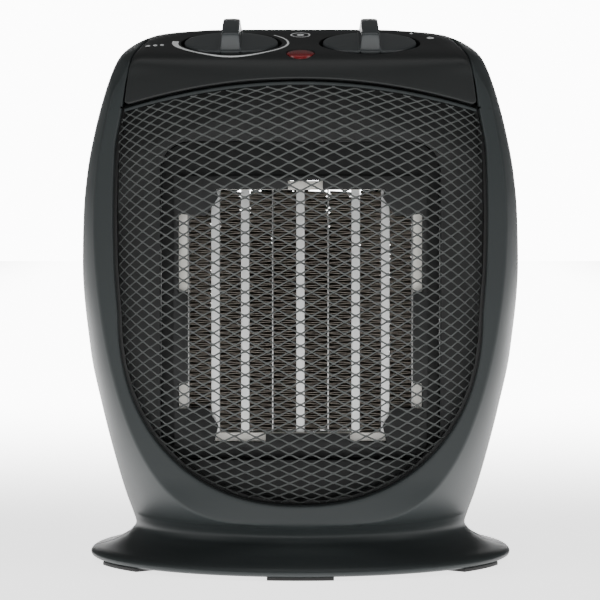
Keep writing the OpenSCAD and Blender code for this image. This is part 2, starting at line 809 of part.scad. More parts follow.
// Threaded neck that comes up through the recess's floor.
module neck() {
    difference() {
        union() {
            translate([0, 0, body_top]) cylinder(h = -4.3 - body_top, r = 4.4);
            translate([0, 0, body_top]) cylinder(h = floor_w - body_top, r = 7);
        }
        translate([0, 0, body_top - 1]) cylinder(h = 20, r = shaft_r);
    }
}

// Round rod from low up to the knob, with a flat on its top end.
module rod(low) {
    translate([0, 0, low]) cylinder(h = -5.4 - low, r = rod_r);
    d_shaft(-6, 2.6);
}

module thermostat_base() {
    color(cream)
    on_panel(-knob_x) union() {
        neck();
        difference() {
            translate([-13, -8, body_top - 8]) cube([26, 16, 8]);
            translate([0, 0, body_top - 10]) cylinder(h = 20, r = shaft_r);
        }
    }
}

blade_pitch = 3.2;

module thermostat_contacts() {
    color(copper)
    on_panel(-knob_x) for (i = [1:2]) {
        low = body_top - 8 - i * blade_pitch;
        difference() {
            union() {
                translate([-13, -4, low]) cube([31, 8, 0.6]);
                translate([-13, -4, low]) cube([4, 8, blade_pitch]);
            }
            if (i == 1) translate([0, 0, low - 1]) cylinder(h = 5, r = 2.6);
        }
    }
}

module thermostat_shaft() {
    color(steel)
    on_panel(-knob_x) union() {
        rod(body_top - 8);
        translate([0, 0, body_top - 13]) cylinder(h = 5.2, r = 2);
    }
}

module mode_switch_body() {
    color(black)
    on_panel(knob_x) union() {
        neck();
        difference() {
            translate([-13, -10, body_top - 15]) cube([26, 20, 15]);
            translate([0, 0, body_top - 12]) cylinder(h = 20, r = shaft_r);
            translate([0, 0, body_top - 12]) cylinder(h = 9.4, r = 7.4);
        }
    }
}

module mode_switch_terminals() {
    color(steel)
    on_panel(knob_x) for (i = [-2:2]) translate([i * 5 - 0.4, -3, body_top - 23]) cube([0.8, 6, 8]);
}

module mode_switch_shaft() {
    color(steel)
    on_panel(knob_x) union() {
        rod(body_top - 4);
        translate([0, 0, body_top - 11]) cylinder(h = 8, r = 7);
    }
}

// Nuts that clamp both necks to the recess floors.
module switch_nuts() {
    color(steel)
    for (x = [-knob_x, knob_x]) on_panel(x) translate([0, 0, -cup_depth])
        difference() {
            cylinder(h = 1.5, r = 7, $fn = 6);
            translate([0, 0, -1]) cylinder(h = 4, r = 4.4);
        }
}

module indicator_lens() {
    color("#b01818")
    on_panel(0) translate([0, lens_v, -4.2]) {
        cylinder(h = 3.6, r = lens_r);
        translate([0, 0, 3.6]) cylinder(h = 1.2, r1 = lens_r, r2 = lens_r - 1.4);
    }
}

module indicator_lamp() {
    color("#e8a070")
    translate([0, -56, 202.1]) rotate([-90, 0, 0]) {
        cylinder(h = 10, r = 2);
        for (s = [-1, 1]) translate([s, 0, 10]) cylinder(h = 9, r = 0.35, $fn = 24);
    }
}

// ---- tip-over switch ------------------------------------------------------------------------

pin_x = 14;                // lever's pin, measured from the plunger
pin_z = 24.1;
stem_r = 2.45;

module tip_switch_housing() {
    color(black)
    translate([plunger_x, plunger_y, 0]) union() {
        difference() {
            translate([0, 0, rim_z + base_t]) cylinder(h = 14.8, r = 8.6);
            translate([0, 0, 5]) cylinder(h = 12, r = 5);
            translate([0, 0, -1]) cylinder(h = 30, r = stem_r + 0.35);
        }
        translate([7.2, -3.2, rim_z + base_t]) cube([15, 6.4, 14.8]);
        difference() {
            translate([7.2, -5.2, 8]) cube([18, 2.1, 29]);
            translate([pin_x, -6, pin_z]) rotate([-90, 0, 0]) cylinder(h = 4, r = 0.85, $fn = 32);
        }
    }
}

// Plunger in the pushed-in place that it has while the heater stands on the floor.
module tip_plunger() {
    color(cream)
    translate([plunger_x, plunger_y, 0]) {
        cylinder(h = 2.8, r = 6);
        cylinder(h = 21.4, r = stem_r);
        translate([0, 0, 21.4]) sphere(stem_r);
        translate([0, 0, 10]) cylinder(h = 1.4, r = 4.6);
    }
}

function ring_point(c, u, v, r, a) = c + r * (cos(a) * u + sin(a) * v);

// Tube swept along a list of points, with sides flat faces round it.
module tube(path, r, sides = 8) {
    n = len(path);
    rings = [for (i = [0:n - 1])
        let (t = path[min(i + 1, n - 1)] - path[max(i - 1, 0)], d = t / norm(t),
             a = abs(d[2]) < 0.9 ? [0, 0, 1] : [1, 0, 0], u0 = cross(d, a), u = u0 / norm(u0),
             v = cross(d, u))
        [for (k = [0:sides - 1]) ring_point(path[i], u, v, r, -360 * k / sides)]];
    polyhedron(
        [for (q = rings) each q],
        concat([[for (k = [0:sides - 1]) k]], [[for (k = [sides - 1:-1:0]) (n - 1) * sides + k]],
               [for (i = [0:n - 2], k = [0:sides - 1])
                   let (a = i * sides + k, b = i * sides + (k + 1) % sides)
                   each [[a, a + sides, b + sides], [a, b + sides, b]]]));
}

module tip_spring() {
    color(steel)
    translate([plunger_x, plunger_y, 0])
        tube([for (i = [0:40]) let (a = i * 36) [3.7 * cos(a), 3.7 * sin(a), 11.9 + 4.6 * i / 40]], 0.4, 6);
}

module tip_microswitch() {
    color(black)
    translate([plunger_x + 3, plunger_y - 3.1, 26.4]) {
        cube([20, 6.2, 10]);
        translate([4, 3.1, -1.5]) cylinder(h = 2, r = 1, $fn = 32);
    }
}

// Lever that the plunger lifts, on its pin in the housing's ear.
module tip_lever() {
    color(steel)
    translate([plunger_x + pin_x, plunger_y, pin_z]) {
        translate([-18, -2.6, 0]) cube([18, 5.2, 0.5]);
        rotate([90, 0, 0]) translate([0, 0, -2.6]) cylinder(h = 7.6, r = 0.8, $fn = 32);
    }
}

// ---- wiring and small parts -----------------------------------------------------------------

block_x = -42;
block_y = 22;

module terminal_block() {
    color(cream)
    translate([block_x - 16, block_y - 8, rim_z + base_t]) {
        cube([32, 16, 3]);
        for (i = [0:2]) translate([1 + i * 10.4, 2, 3]) cube([9.2, 12, 8]);
    }
}

inlet_y = 53;
bushing_len = 9.2;

module cord_bushing() {
    color(black)
    translate([inlet_x, inlet_y, inlet_z]) rotate([-90, 0, 0]) difference() {
        union() {
            cylinder(h = bushing_len, r = 5.4);
            translate([0, 0, bushing_len - 2]) cylinder(h = 2, r = 7);
            cylinder(h = 1.4, r = 7);
        }
        translate([0, 0, -1]) cylinder(h = bushing_len + 2, r = 3.5);
    }
}

wire_r = 1.1;

// Corners of each wire's run; a smooth curve goes through them.
wire_runs = [
    [[-52, 22, 15.7], [-68, 15, 38], [-73, 14, 60], [-74.5, 14, 90], [-74, 10, 150], [-72, -4, 181],
     [-56, -24, 191], [-42, -29.5, 191.5]],
    [[-42, 22, 15.7], [-52, 26, 30], [-68, 25, 42], [-73, 24, 60], [-74, 22, 90], [-72, 18, 150],
     [-70, 4, 184], [-40, 2, 186], [0, -10, 187], [18, -27, 181]],
    [[-31, 22, 15.7], [-10, 30, 18], [20, 28, 30], [34, 20, 41], [43, 12, 42], [43, 12, 36.5]],
    [[23, -27, 181], [18, -33, 179.5], [13, -37, 180], [tab_x, tab_y, 176], [tab_x, tab_y, 168]],
    [[28, -27, 181], [20, -31, 177.5], [2, -35, 179], [-9, -37, 181], [-tab_x, tab_y, 176],
     [-tab_x, tab_y, 168]]
];

// Point on the smooth curve through corners w, between corner i and the next.
function between(w, i, u) =
    let (n = len(w) - 1, a = w[max(i - 1, 0)], b = w[i], c = w[i + 1], d = w[min(i + 2, n)])
    0.5 * (2 * b + (c - a) * u + (2 * a - 5 * b + 4 * c - d) * u ^ 2 + (3 * b - a - 3 * c + d) * u ^ 3);

module wiring() {
    color("#f2f2ea")
    for (w = wire_runs)
        tube(concat([for (i = [0:len(w) - 2], u = [0:0.25:0.9]) between(w, i, u)], [w[len(w) - 1]]), wire_r);
}

module rating_plate() {
    color(steel)
    translate([-60, -14, rim_z - 0.3]) cube([32, 28, 0.3]);
}

// Pan-head screw: its head from z = 0 up, its shank down.
module screw(head_r, head_h, shank_r, shank_len) {
    difference() {
        union() {
            cylinder(h = head_h, r = head_r);
            translate([0, 0, -shank_len]) cylinder(h = shank_len + eps, r = shank_r);
        }
        for (a = [0, 90])
            rotate([0, 0, a]) translate([-head_r * 0.6, -0.4, head_h - 0.8]) cube([head_r * 1.2, 0.8, 2]);
    }
}

module housing_screws() {
    color(steel)
    for (p = pillar_places)
        translate([p[0], pillar_end_y + 4, p[1]]) rotate([-90, 0, 0]) screw(3.2, 2.2, 1.1, 14);
}

module grille_screws() {
    color(steel)
    for (b = boss_places)
        translate([b[0], plate_y + plate_t, b[1]]) rotate([-90, 0, 0]) screw(2.9, 1.8, 1.05, 7.5);
}

module duct_screws() {
    color(steel)
    for (e = ear_places)
        translate([e[0], joint_y - 2, e[1]]) rotate([90, 0, 0]) screw(2.8, 1.8, 1.05, 4);
}

module motor_screws() {
    color(steel) {
        for (s = [-1, 1]) translate([s * bolt_x, -20, fan_z]) rotate([90, 0, 0]) screw(2.8, 1.8, 1.5, 24);
        for (p = post_places)
            translate([p[0], bracket_y, fan_z + p[1]]) rotate([90, 0, 0]) screw(2.9, 1.8, 1.05, 4.5);
    }
}

module base_screws() {
    color(steel)
    for (p = base_screw_places)
        translate([p[0], p[1], rim_z + 4]) rotate([180, 0, 0]) screw(3.1, 2, 1.5, 6);
}

front_housing();
rear_housing();
base_plate();
control_panel();
mesh_grille();
grille_frame();
outlet_plate();
fan_shroud();
element_retainer();
element_frame();
radiator_fins();
ptc_bars();
electrode_plates();
thermal_cutout();
thermal_fuse();
motor_bracket();
motor_stator();
motor_coil();
bearing_bracket_front();
bearing_bracket_rear();
bearing_front();
bearing_rear();
motor_rotor();
motor_shaft();
fan_impeller();
fan_clip();
thermostat_base();
thermostat_contacts();
thermostat_shaft();
thermostat_knob();
mode_switch_body();
mode_switch_terminals();
mode_switch_shaft();
mode_knob();
switch_nuts();
indicator_lens();
indicator_lamp();
tip_switch_housing();
tip_plunger();
tip_spring();
tip_microswitch();
tip_lever();
terminal_block();
cord_bushing();
wiring();
rating_plate();
foot_front();
foot_left();
foot_right();
foot_rear();
housing_screws();
grille_screws();
duct_screws();
motor_screws();
base_screws();
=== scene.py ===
import json
import math

import bmesh
import bpy
import numpy as np
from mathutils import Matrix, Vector

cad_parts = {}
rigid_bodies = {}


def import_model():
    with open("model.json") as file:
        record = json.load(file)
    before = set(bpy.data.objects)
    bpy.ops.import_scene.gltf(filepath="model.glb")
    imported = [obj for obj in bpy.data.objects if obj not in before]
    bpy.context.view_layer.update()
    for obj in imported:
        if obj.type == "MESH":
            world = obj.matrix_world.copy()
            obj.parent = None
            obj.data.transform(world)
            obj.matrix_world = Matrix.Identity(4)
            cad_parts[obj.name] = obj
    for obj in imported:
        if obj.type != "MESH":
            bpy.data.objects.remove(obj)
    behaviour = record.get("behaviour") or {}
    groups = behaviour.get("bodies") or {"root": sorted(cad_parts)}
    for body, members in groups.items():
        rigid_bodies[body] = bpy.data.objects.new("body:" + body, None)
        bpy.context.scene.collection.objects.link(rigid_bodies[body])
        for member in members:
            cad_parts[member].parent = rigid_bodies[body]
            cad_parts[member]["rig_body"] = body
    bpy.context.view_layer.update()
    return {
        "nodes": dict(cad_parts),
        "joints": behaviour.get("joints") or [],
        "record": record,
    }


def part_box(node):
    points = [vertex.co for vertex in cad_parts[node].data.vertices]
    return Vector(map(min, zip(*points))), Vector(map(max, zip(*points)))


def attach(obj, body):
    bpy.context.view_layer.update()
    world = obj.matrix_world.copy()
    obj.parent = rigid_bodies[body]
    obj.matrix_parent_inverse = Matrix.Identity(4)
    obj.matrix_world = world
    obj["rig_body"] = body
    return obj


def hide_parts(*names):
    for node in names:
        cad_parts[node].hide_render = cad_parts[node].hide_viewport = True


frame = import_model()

# A portable ceramic space heater. Lengths are millimetres in the row frame, and become metres in build().
# The front is -Y, up is +Z.

MM = 0.001

# ---- sizes ----------------------------------------------------------------------------------------

PARTING_Y = 4.0            # joint between the front and rear housings
HALF_W = 90.5
WALL = 2.5
SEAM = 0.2                 # half of the gap at each seam
EDGE_R = 0.6               # rounding of the moulded edges

# Half-width of the silhouette at each height, as a share of the widest.
SIDE = [(1.6, .9525), (2.4, .9669), (3.4, .9702), (4.6, .9613), (5.6, .9348), (6.7, .8884), (8.6, .8376),
        (11.4, .7884), (15.2, .7613), (20, .7757), (28.4, .8077), (40.4, .8453), (67.8, .9171), (88.7, .9646),
        (124, 1), (145, .9945), (161.7, .9768), (179.2, .9392), (195.5, .8884), (205.7, .8464),
        (210.2, .8177), (214, .7713), (218.1, .6785), (219.4, .5967), (220.5, .442)]
# Front and back surfaces on the centre line at each height.
FRONT = [(1.6, -72.8), (2.4, -74.1), (3.4, -74.5), (4.6, -73.8), (5.8, -71.8), (7.2, -68.4), (9, -64.2),
         (11.4, -60.3), (13.5, -57.6), (15.8, -56.9), (17.6, -58), (19, -60), (20.4, -62.1), (23, -63),
         (40, -64), (75, -65.4), (110, -66), (145, -65.5), (180, -64), (199, -62.4), (203, -61.2),
         (206, -59.3), (208, -56.6), (209.5, -53.1), (214, -35), (220, -10.9), (220.5, -8.9)]
BACK = [(1.6, 72.8), (2.4, 74.1), (3.4, 74.5), (4.6, 73.8), (5.8, 71.8), (7.2, 68.6), (9, 65.2), (11.4, 62.4),
        (15, 60.2), (22, 60), (40, 61.5), (80, 64), (120, 65), (160, 64), (185, 61), (200, 56.5), (208, 52),
        (214, 46), (218, 39), (220.5, 28)]
# Half-width of the flat front face, above the round bottom of the bezel.
FACE = [(140, 82), (150, 81.8), (160, 81), (170, 79.7), (184.4, 77), (195, 74.6), (203, 71), (208, 67),
        (212, 62), (214, 59), (216, 55.5), (218, 50), (219.5, 43), (220.5, 34)]
FACE_LOW, FACE_TURN = 20.4, 140.0
FACE_POWERS = (1.7, 0.262)         # powers of the fall and of the width in the round bottom
# Half-width of the grille opening, and above it of the control panel.
OPENING = [(105, 72.5), (125, 74), (145, 74.4), (169, 73.8), (187.7, 70.7), (207, 67.5), (220, 60), (232, 53)]
OPEN_LOW, OPEN_TURN = 28.8, 105.0
OPEN_POWERS = (2.2, 1 / 2.2)
ARCH_Z = 198.7             # the arch between the grille and the panel, on the centre line
PANEL_BACK_Y = -5.0
CROWN_Z = 220.5

JOINTS = {j["name"]: j for j in frame["joints"]}


def curve(table, v):
    """Smooth curve through the points of a table, level outside them."""
    t = np.array(table, float)
    x, y = t[:, 0], t[:, 1]
    h = np.diff(x)
    d = np.diff(y) / h
    slope = np.zeros(len(x))
    slope[0], slope[-1] = d[0], d[-1]
    a, b = d[:-1], d[1:]
    same = a * b > 0
    slope[1:-1][same] = 2 * a[same] * b[same] / (a[same] + b[same])
    v = np.clip(np.asarray(v, float), x[0], x[-1])
    i = np.clip(np.searchsorted(x, v, side="right") - 1, 0, len(h) - 1)
    u = (v - x[i]) / h[i]
    level = y[i] * (2 * u**3 - 3 * u**2 + 1) + y[i + 1] * (3 * u**2 - 2 * u**3)
    return level + h[i] * (slope[i] * (u**3 - 2 * u**2 + u) + slope[i + 1] * (u**3 - u**2))


def smooth(a, b, v):
    u = np.clip((np.asarray(v, float) - a) / (b - a), 0, 1)
    return u * u * (3 - 2 * u)


def side_half(z):
    return (HALF_W - 1.2 * smooth(25, 100, z)) * curve(SIDE, z)


def face_half(z):
    fall = np.clip((FACE_TURN - np.asarray(z, float)) / (FACE_TURN - FACE_LOW), 0, 1)
    round_bottom = np.maximum(3.0, FACE[0][1] * (1 - fall ** FACE_POWERS[0]) ** FACE_POWERS[1])
    return np.where(fall > 0, round_bottom, curve(FACE, z))


def face_y(x, z):
    bow = 0.0006 * smooth(22, 40, z) * (1 - smooth(199, 209, z))
    return curve(FRONT, z) + bow * x**2


def flank_y(x, z):
    """The rounded side surface, which the flat face cuts off at face_half(z)."""
    s, f = side_half(z), face_half(z)
    n = 2 + 2 * smooth(25, 95, z)
    reach = (PARTING_Y - face_y(f, z)) / (1 - (f / s) ** n) ** (1 / n)
    inside = np.clip(1 - (np.abs(x) / s) ** n, 0, 1)
    return PARTING_Y - reach * inside ** (1 / n)


def arch(x):
    return ARCH_Z - 0.0022 * x * x


def crease_width(z):
    """Half the width of the rounded edge between the face and the flank."""
    return 0.7 + 3 * smooth(190, 205, z)


# ---- outlines in the front view, as points (x, z) ------------------------------------------------

def mirrored(right):
    """A closed outline from its right half, which runs from the bottom to the top."""
    right = np.array(right, float)
    left = right[::-1] * (-1, 1)
    return np.vstack([right, left])


def half_outline(low, turn, half, powers, above, top):
    """Right half of an outline with a round bottom and sides that follow above(z) up to top."""
    a = np.radians(np.linspace(0, 90, 70))
    across = half * np.sin(a) ** (2 * powers[1])
    up = turn - (turn - low) * np.cos(a) ** (2 / powers[0])
    bottom = np.stack([across, up], 1)
    z = np.arange(turn + 1.5, top, 1.5)
    return np.vstack([bottom, np.stack([above(z), z], 1)])


def opening_side(z):
    return curve(OPENING, z)


VOID = mirrored(half_outline(OPEN_LOW, OPEN_TURN, OPENING[0][1], OPEN_POWERS, opening_side, 231))
CREASE_HALF = half_outline(FACE_LOW, FACE_TURN, FACE[0][1], FACE_POWERS, lambda z: curve(FACE, z), 212)
CREASE = mirrored(CREASE_HALF)


def distance_to(outline):
    """Signed distance from an outline, positive outside, and the way out of it, for points (x, z)."""
    a = np.array(outline, float)
    d = np.roll(a, -1, 0) - a
    length2 = np.maximum((d**2).sum(1), 1e-12)

    def measure(p):
        best = np.full(len(p), 1e9)
        inside = np.zeros(len(p), bool)
        away = np.zeros((len(p), 2))
        for i in range(len(a)):
            rel = p - a[i]
            t = np.clip((rel @ d[i]) / length2[i], 0, 1)
            gap = rel - t[:, None] * d[i]
            dist = np.hypot(gap[:, 0], gap[:, 1])
            near = dist < best
            best = np.where(near, dist, best)
            away[near] = gap[near]
            z0, z1 = a[i, 1], a[i, 1] + d[i, 1]
            crosses = (z0 > p[:, 1]) != (z1 > p[:, 1])
            if crosses.any():
                x = a[i, 0] + (p[:, 1] - z0) / np.where(z1 == z0, 1, z1 - z0) * d[i, 0]
                inside ^= crosses & (p[:, 0] < x)
        sign = np.where(inside, -1.0, 1.0)
        unit = away / np.maximum(best, 1e-9)[:, None] * sign[:, None]
        return best * sign, unit

    return measure


void_distance = distance_to(VOID)
crease_distance = distance_to(CREASE)


def soft_max(a, b, k):
    h = np.maximum(k - np.abs(a - b), 0) / k
    return np.maximum(a, b) + h * h * k / 4


def void_field(p):
    """Negative in the space that the grille and the control panel fill."""
    return soft_max(void_distance(p[:, [0, 2]])[0], p[:, 1] - PANEL_BACK_Y, 4.0)


# ---- mesh tools -----------------------------------------------------------------------------------

def grid(points):
    """Mesh (vertices, faces) of an array of points, rows by columns."""
    rows, cols = points.shape[:2]
    faces = [[i * cols + j, i * cols + j + 1, (i + 1) * cols + j + 1, (i + 1) * cols + j]
             for i in range(rows - 1) for j in range(cols - 1)]
    return points.reshape(-1, 3), faces


def joined(*meshes):
    verts, faces, base = [], [], 0
    for v, f in meshes:
        verts.append(np.asarray(v, float))
        faces += [[i + base for i in face] for face in f]
        base += len(v)
    return np.vstack(verts), faces


def flipped(mesh):
    return mesh[0], [face[::-1] for face in mesh[1]]


def mirror_x(mesh):
    return mesh[0] * (-1, 1, 1), [face[::-1] for face in mesh[1]]


def welded(mesh, reach=0.01):
    """The mesh with vertices at the same place made one."""
    keys = np.round(mesh[0] / reach).astype(np.int64)
    _, first, index = np.unique(keys, axis=0, return_index=True, return_inverse=True)
    index = index.reshape(-1)
    faces = []
    for face in mesh[1]:
        ring = [index[i] for i in face]
        ring = [v for k, v in enumerate(ring) if v != ring[k - 1]]
        if len(set(ring)) == len(ring) and len(ring) > 2:
            faces.append(ring)
    return mesh[0][first], faces


def normals(verts, faces):
    total = np.zeros_like(verts)
    for face in faces:
        p = verts[face]
        n = np.cross(p, np.roll(p, -1, 0)).sum(0)
        total[face] += n
    return total / np.maximum(np.linalg.norm(total, axis=1), 1e-12)[:, None]


def trim(mesh, field):
    """Keeps what lies where field is positive, with clean new edges along field = 0."""
    verts, faces = np.array(mesh[0], float), mesh[1]
    value = field(verts)
    pairs = {}
    for face in faces:
        for a, b in zip(face, face[1:] + face[:1]):
            if value[a] * value[b] < 0:
                pairs[(min(a, b), max(a, b))] = None
    if pairs:
        key = np.array(list(pairs))
        low, high = np.zeros(len(key)), np.ones(len(key))
        v_low, v_high = value[key[:, 0]], value[key[:, 1]]
        start, step = verts[key[:, 0]], verts[key[:, 1]] - verts[key[:, 0]]
        for _ in range(5):
            t = low + (high - low) * v_low / (v_low - v_high)
            v = field(start + step * t[:, None])
            before = v * v_low > 0
            low, v_low = np.where(before, t, low), np.where(before, v, v_low)
            high, v_high = np.where(before, high, t), np.where(before, v_high, v)
        crossing = start + step * t[:, None]
        # a vertex next to the edge moves onto it, so that no sliver is left
        order = np.argsort(np.minimum(t, 1 - t))
        moved = set()
        for k in order:
            end = 0 if t[k] < 0.5 else 1
            vertex = key[k, end]
            if min(t[k], 1 - t[k]) < 0.3 and vertex not in moved and key[k, 1 - end] not in moved:
                verts[vertex] = crossing[k]
                value[vertex] = 0
                moved.add(vertex)
        pairs = {tuple(key[k]): len(verts) + k for k in range(len(key))}
        verts = np.vstack([verts, crossing])
    kept = []
    for face in faces:
        ring = []
        for a, b in zip(face, face[1:] + face[:1]):
            if value[a] >= 0:
                ring.append(a)
            if value[a] * value[b] < 0:
                ring.append(pairs[(min(a, b), max(a, b))])
        if len(ring) > 2 and any(value[i] > 0 for i in ring if i < len(value)):
            kept.append(ring)
    used = sorted({i for face in kept for i in face})
    index = {old: new for new, old in enumerate(used)}
    return welded((verts[used], [[index[i] for i in face] for face in kept]), 0.005)


def edge_loops(faces):
    """Chains of open edges, each along the way its own faces run, as (vertices, whether closed)."""
    directed = {(a, b) for face in faces for a, b in zip(face, face[1:] + face[:1])}
    after = {a: b for a, b in directed if (b, a) not in directed}
    starts = set(after) - set(after.values())
    loops = []
    while after:
        first = min(starts & set(after)) if starts & set(after) else min(after)
        chain = [first]
        while chain[-1] in after:
            step = after.pop(chain[-1])
            if step == first:
                break
            chain.append(step)
        loops.append((chain, step == first))
    return loops


def rolled(mesh, radius, depth, where=None, wall_end=None, steps=4):
    """Rounds the open edges over by radius, then runs a wall depth further in.
    where picks the edge vertices, and wall_end gives the wall's own end points instead of depth."""
    verts, faces = mesh
    n_all = normals(verts, faces)
    new_verts, new_faces, base = [verts], list(faces), len(verts)
    for chain, closed in edge_loops(faces):
        p = verts[chain]
        n = n_all[chain]
        if closed:
            along = np.roll(p, -1, 0) - np.roll(p, 1, 0)
        else:
            along = np.gradient(p, axis=0)
        out = np.cross(along, n)
        out /= np.maximum(np.linalg.norm(out, axis=1), 1e-9)[:, None]
        for _ in range(2):
            if closed:
                out = out + np.roll(out, 1, 0) + np.roll(out, -1, 0)
            else:
                out[1:-1] = out[1:-1] + out[2:] + out[:-2]
            out -= (out * n).sum(1)[:, None] * n
            out /= np.maximum(np.linalg.norm(out, axis=1), 1e-9)[:, None]
        pick = np.ones(len(p), bool) if where is None else where(p)
        rings = []
        for k in range(1, steps + 1):
            a = math.pi / 2 * k / steps
            rings.append(p + radius * math.sin(a) * out - radius * (1 - math.cos(a)) * n)
        rings.append(rings[-1] - n * depth if wall_end is None else wall_end(rings[-1]))
        count, previous = len(chain), list(chain)
        for ring in rings:
            current = list(range(base, base + count))
            new_verts.append(ring)
            base += count
            for i in range(count if closed else count - 1):
                j = (i + 1) % count
                if pick[i] and pick[j]:
                    new_faces.append([previous[j], previous[i], current[i], current[j]])
            previous = current
    return np.vstack(new_verts), new_faces


def lathe(profile, segments=96):
    """Surface of revolution round +Z of (radius, height) pairs, given from the outside bottom upwards."""
    a = np.linspace(0, 2 * math.pi, segments, endpoint=False)
    p = np.array(profile, float)
    rows = np.stack([p[:, :1] * np.cos(a), p[:, :1] * np.sin(a), np.repeat(p[:, 1:], segments, 1)], 2)
    rows = np.concatenate([rows, rows[:, :1]], 1)
    return welded(grid(rows), 1e-4)


def sweep(path, section, across, out):
    """Section of (across, out) pairs carried along a path of points."""
    path = np.asarray(path, float)
    rows = np.stack([path + a * across + o * out for a, o in section + section[:1]], 1)
    return grid(rows)


# ---- materials ------------------------------------------------------------------------------------

def node_tree(name):
    material = bpy.data.materials.new(name)
    material.use_nodes = True
    return material, material.node_tree.nodes, material.node_tree.links


def surface(name, colour, rough, metal=0.0, grain=900.0, grain_depth=0.06, mottle=0.06, rough_spread=0.06,
            coat=0.0, stretch=(1, 1, 1), sheen=0.0, shine=0.5):
    """A moulded or metal finish: fine grain in the surface, and slow changes in colour and gloss."""
    material, nodes, links = node_tree(name)
    bsdf = nodes["Principled BSDF"]
    bsdf.inputs["Metallic"].default_value = metal
    bsdf.inputs["Specular IOR Level"].default_value = shine
    bsdf.inputs["Coat Weight"].default_value = coat
    bsdf.inputs["Coat Roughness"].default_value = 0.25
    bsdf.inputs["Sheen Weight"].default_value = sheen
    coords = nodes.new("ShaderNodeTexCoord")
    mapping = nodes.new("ShaderNodeMapping")
    mapping.inputs["Scale"].default_value = stretch
    links.new(coords.outputs["Object"], mapping.inputs["Vector"])
    fine = nodes.new("ShaderNodeTexNoise")
    fine.inputs["Scale"].default_value = grain
    fine.inputs["Detail"].default_value = 3
    slow = nodes.new("ShaderNodeTexNoise")
    slow.inputs["Scale"].default_value = 22
    slow.inputs["Detail"].default_value = 4
    for noise in (fine, slow):
        links.new(mapping.outputs["Vector"], noise.inputs["Vector"])
    tint = nodes.new("ShaderNodeMix")
    tint.data_type = "RGBA"
    tint.inputs["A"].default_value = (*[c * (1 - mottle) for c in colour], 1)
    tint.inputs["B"].default_value = (*[c * (1 + mottle) for c in colour], 1)
    links.new(slow.outputs["Fac"], tint.inputs["Factor"])
    links.new(tint.outputs["Result"], bsdf.inputs["Base Color"])
    gloss = nodes.new("ShaderNodeMapRange")
    gloss.inputs["To Min"].default_value = rough - rough_spread
    gloss.inputs["To Max"].default_value = rough + rough_spread
    links.new(slow.outputs["Fac"], gloss.inputs["Value"])
    links.new(gloss.outputs["Result"], bsdf.inputs["Roughness"])
    bump = nodes.new("ShaderNodeBump")
    bump.inputs["Strength"].default_value = grain_depth
    bump.inputs["Distance"].default_value = 0.0003
    links.new(fine.outputs["Fac"], bump.inputs["Height"])
    links.new(bump.outputs["Normal"], bsdf.inputs["Normal"])
    return material


def glow_lens(name, colour):
    """Translucent coloured lens, lighter where it is thin at the rim."""
    material = surface(name, colour, 0.22, grain=300, grain_depth=0.05, mottle=0.25, coat=0.4)
    bsdf = material.node_tree.nodes["Principled BSDF"]
    bsdf.inputs["Subsurface Weight"].default_value = 0.3
    bsdf.inputs["Subsurface Radius"].default_value = (0.004, 0.001, 0.001)
    bsdf.inputs["Subsurface Scale"].default_value = 0.5
    return material


MATERIALS = {
    "housing_plastic": surface("housing_plastic", (.024, .0285, .029), .46, shine=.25, grain=1300,
                               grain_depth=.10),
    "panel_plastic": surface("panel_plastic", (.017, .0185, .0185), .42, shine=.25, grain=1300,
                             grain_depth=.06),
    "base_plastic": surface("base_plastic", (.010, .011, .011), .55, grain=800, grain_depth=.12),
    "inner_plastic": surface("inner_plastic", (.0075, .008, .008), .55, grain=700, grain_depth=.12),
    "knob_plastic": surface("knob_plastic", (.040, .046, .048), .34, shine=.5, grain=1300, grain_depth=.05),
    "grille_metal": surface("grille_metal", (.10, .107, .104), .36, metal=.4, grain=1600,
                            grain_depth=.1, coat=.15),
    "cream_resin": surface("cream_resin", (.86, .84, .78), .5, grain=500, grain_depth=.1),
    "fin_metal": surface("fin_metal", (.26, .23, .20), .46, metal=.6, grain=900, mottle=.3),
    "rod_metal": surface("rod_metal", (.90, .91, .90), .40, metal=.35, stretch=(1, 1, .05), grain=2500),
    "electrode_metal": surface("electrode_metal", (.5, .5, .49), .35, metal=.9, stretch=(1, 1, .05),
                               grain=2500),
    "bakelite": surface("bakelite", (.02, .018, .016), .4, mottle=.2),
    "plated_steel": surface("plated_steel", (.55, .55, .54), .32, metal=.95, grain=1500, mottle=.12),
    "core_steel": surface("core_steel", (.3, .3, .3), .45, metal=.9, stretch=(1, 60, 1), grain=60,
                          grain_depth=.4),
    "winding": surface("winding", (.42, .17, .08), .35, metal=.6, stretch=(1, 1, 8), grain=300,
                       grain_depth=.5),
    "bronze": surface("bronze", (.6, .42, .2), .4, metal=.9, mottle=.15),
    "fan_plastic": surface("fan_plastic", (.018, .02, .022), .38),
    "lamp_glass": surface("lamp_glass", (.8, .4, .2), .12, mottle=.15, coat=.5),
    "wire_jacket": surface("wire_jacket", (.75, .75, .7), .45),
    "label": surface("label", (.55, .56, .55), .35, metal=.5, mottle=.05),
    "rubber": surface("rubber", (.012, .012, .012), .7, grain=600, grain_depth=.25),
    "red_lens": glow_lens("red_lens", (.17, .005, .007)),
    "print_white": surface("print_white", (.86, .88, .88), .5, grain=2500, grain_depth=.15, mottle=.05),
}


# ---- pieces ---------------------------------------------------------------------------------------

def build(name, mesh, body, slot, replaces=(), material=None, sharp=38):
    """Makes the mesh, in millimetres, a piece that rides a body and has a slot's finish."""
    verts, faces = mesh
    data = bpy.data.meshes.new(name)
    data.from_pydata((np.asarray(verts, float) * MM).tolist(), [], [[int(i) for i in f] for f in faces])
    data.validate()
    piece = bpy.data.objects.new(name, data)
    bpy.context.scene.collection.objects.link(piece)
    data.materials.append(MATERIALS[material or slot])
    shade(piece, sharp)
    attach(piece, body)
    if replaces:
        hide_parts(*replaces)
    return piece


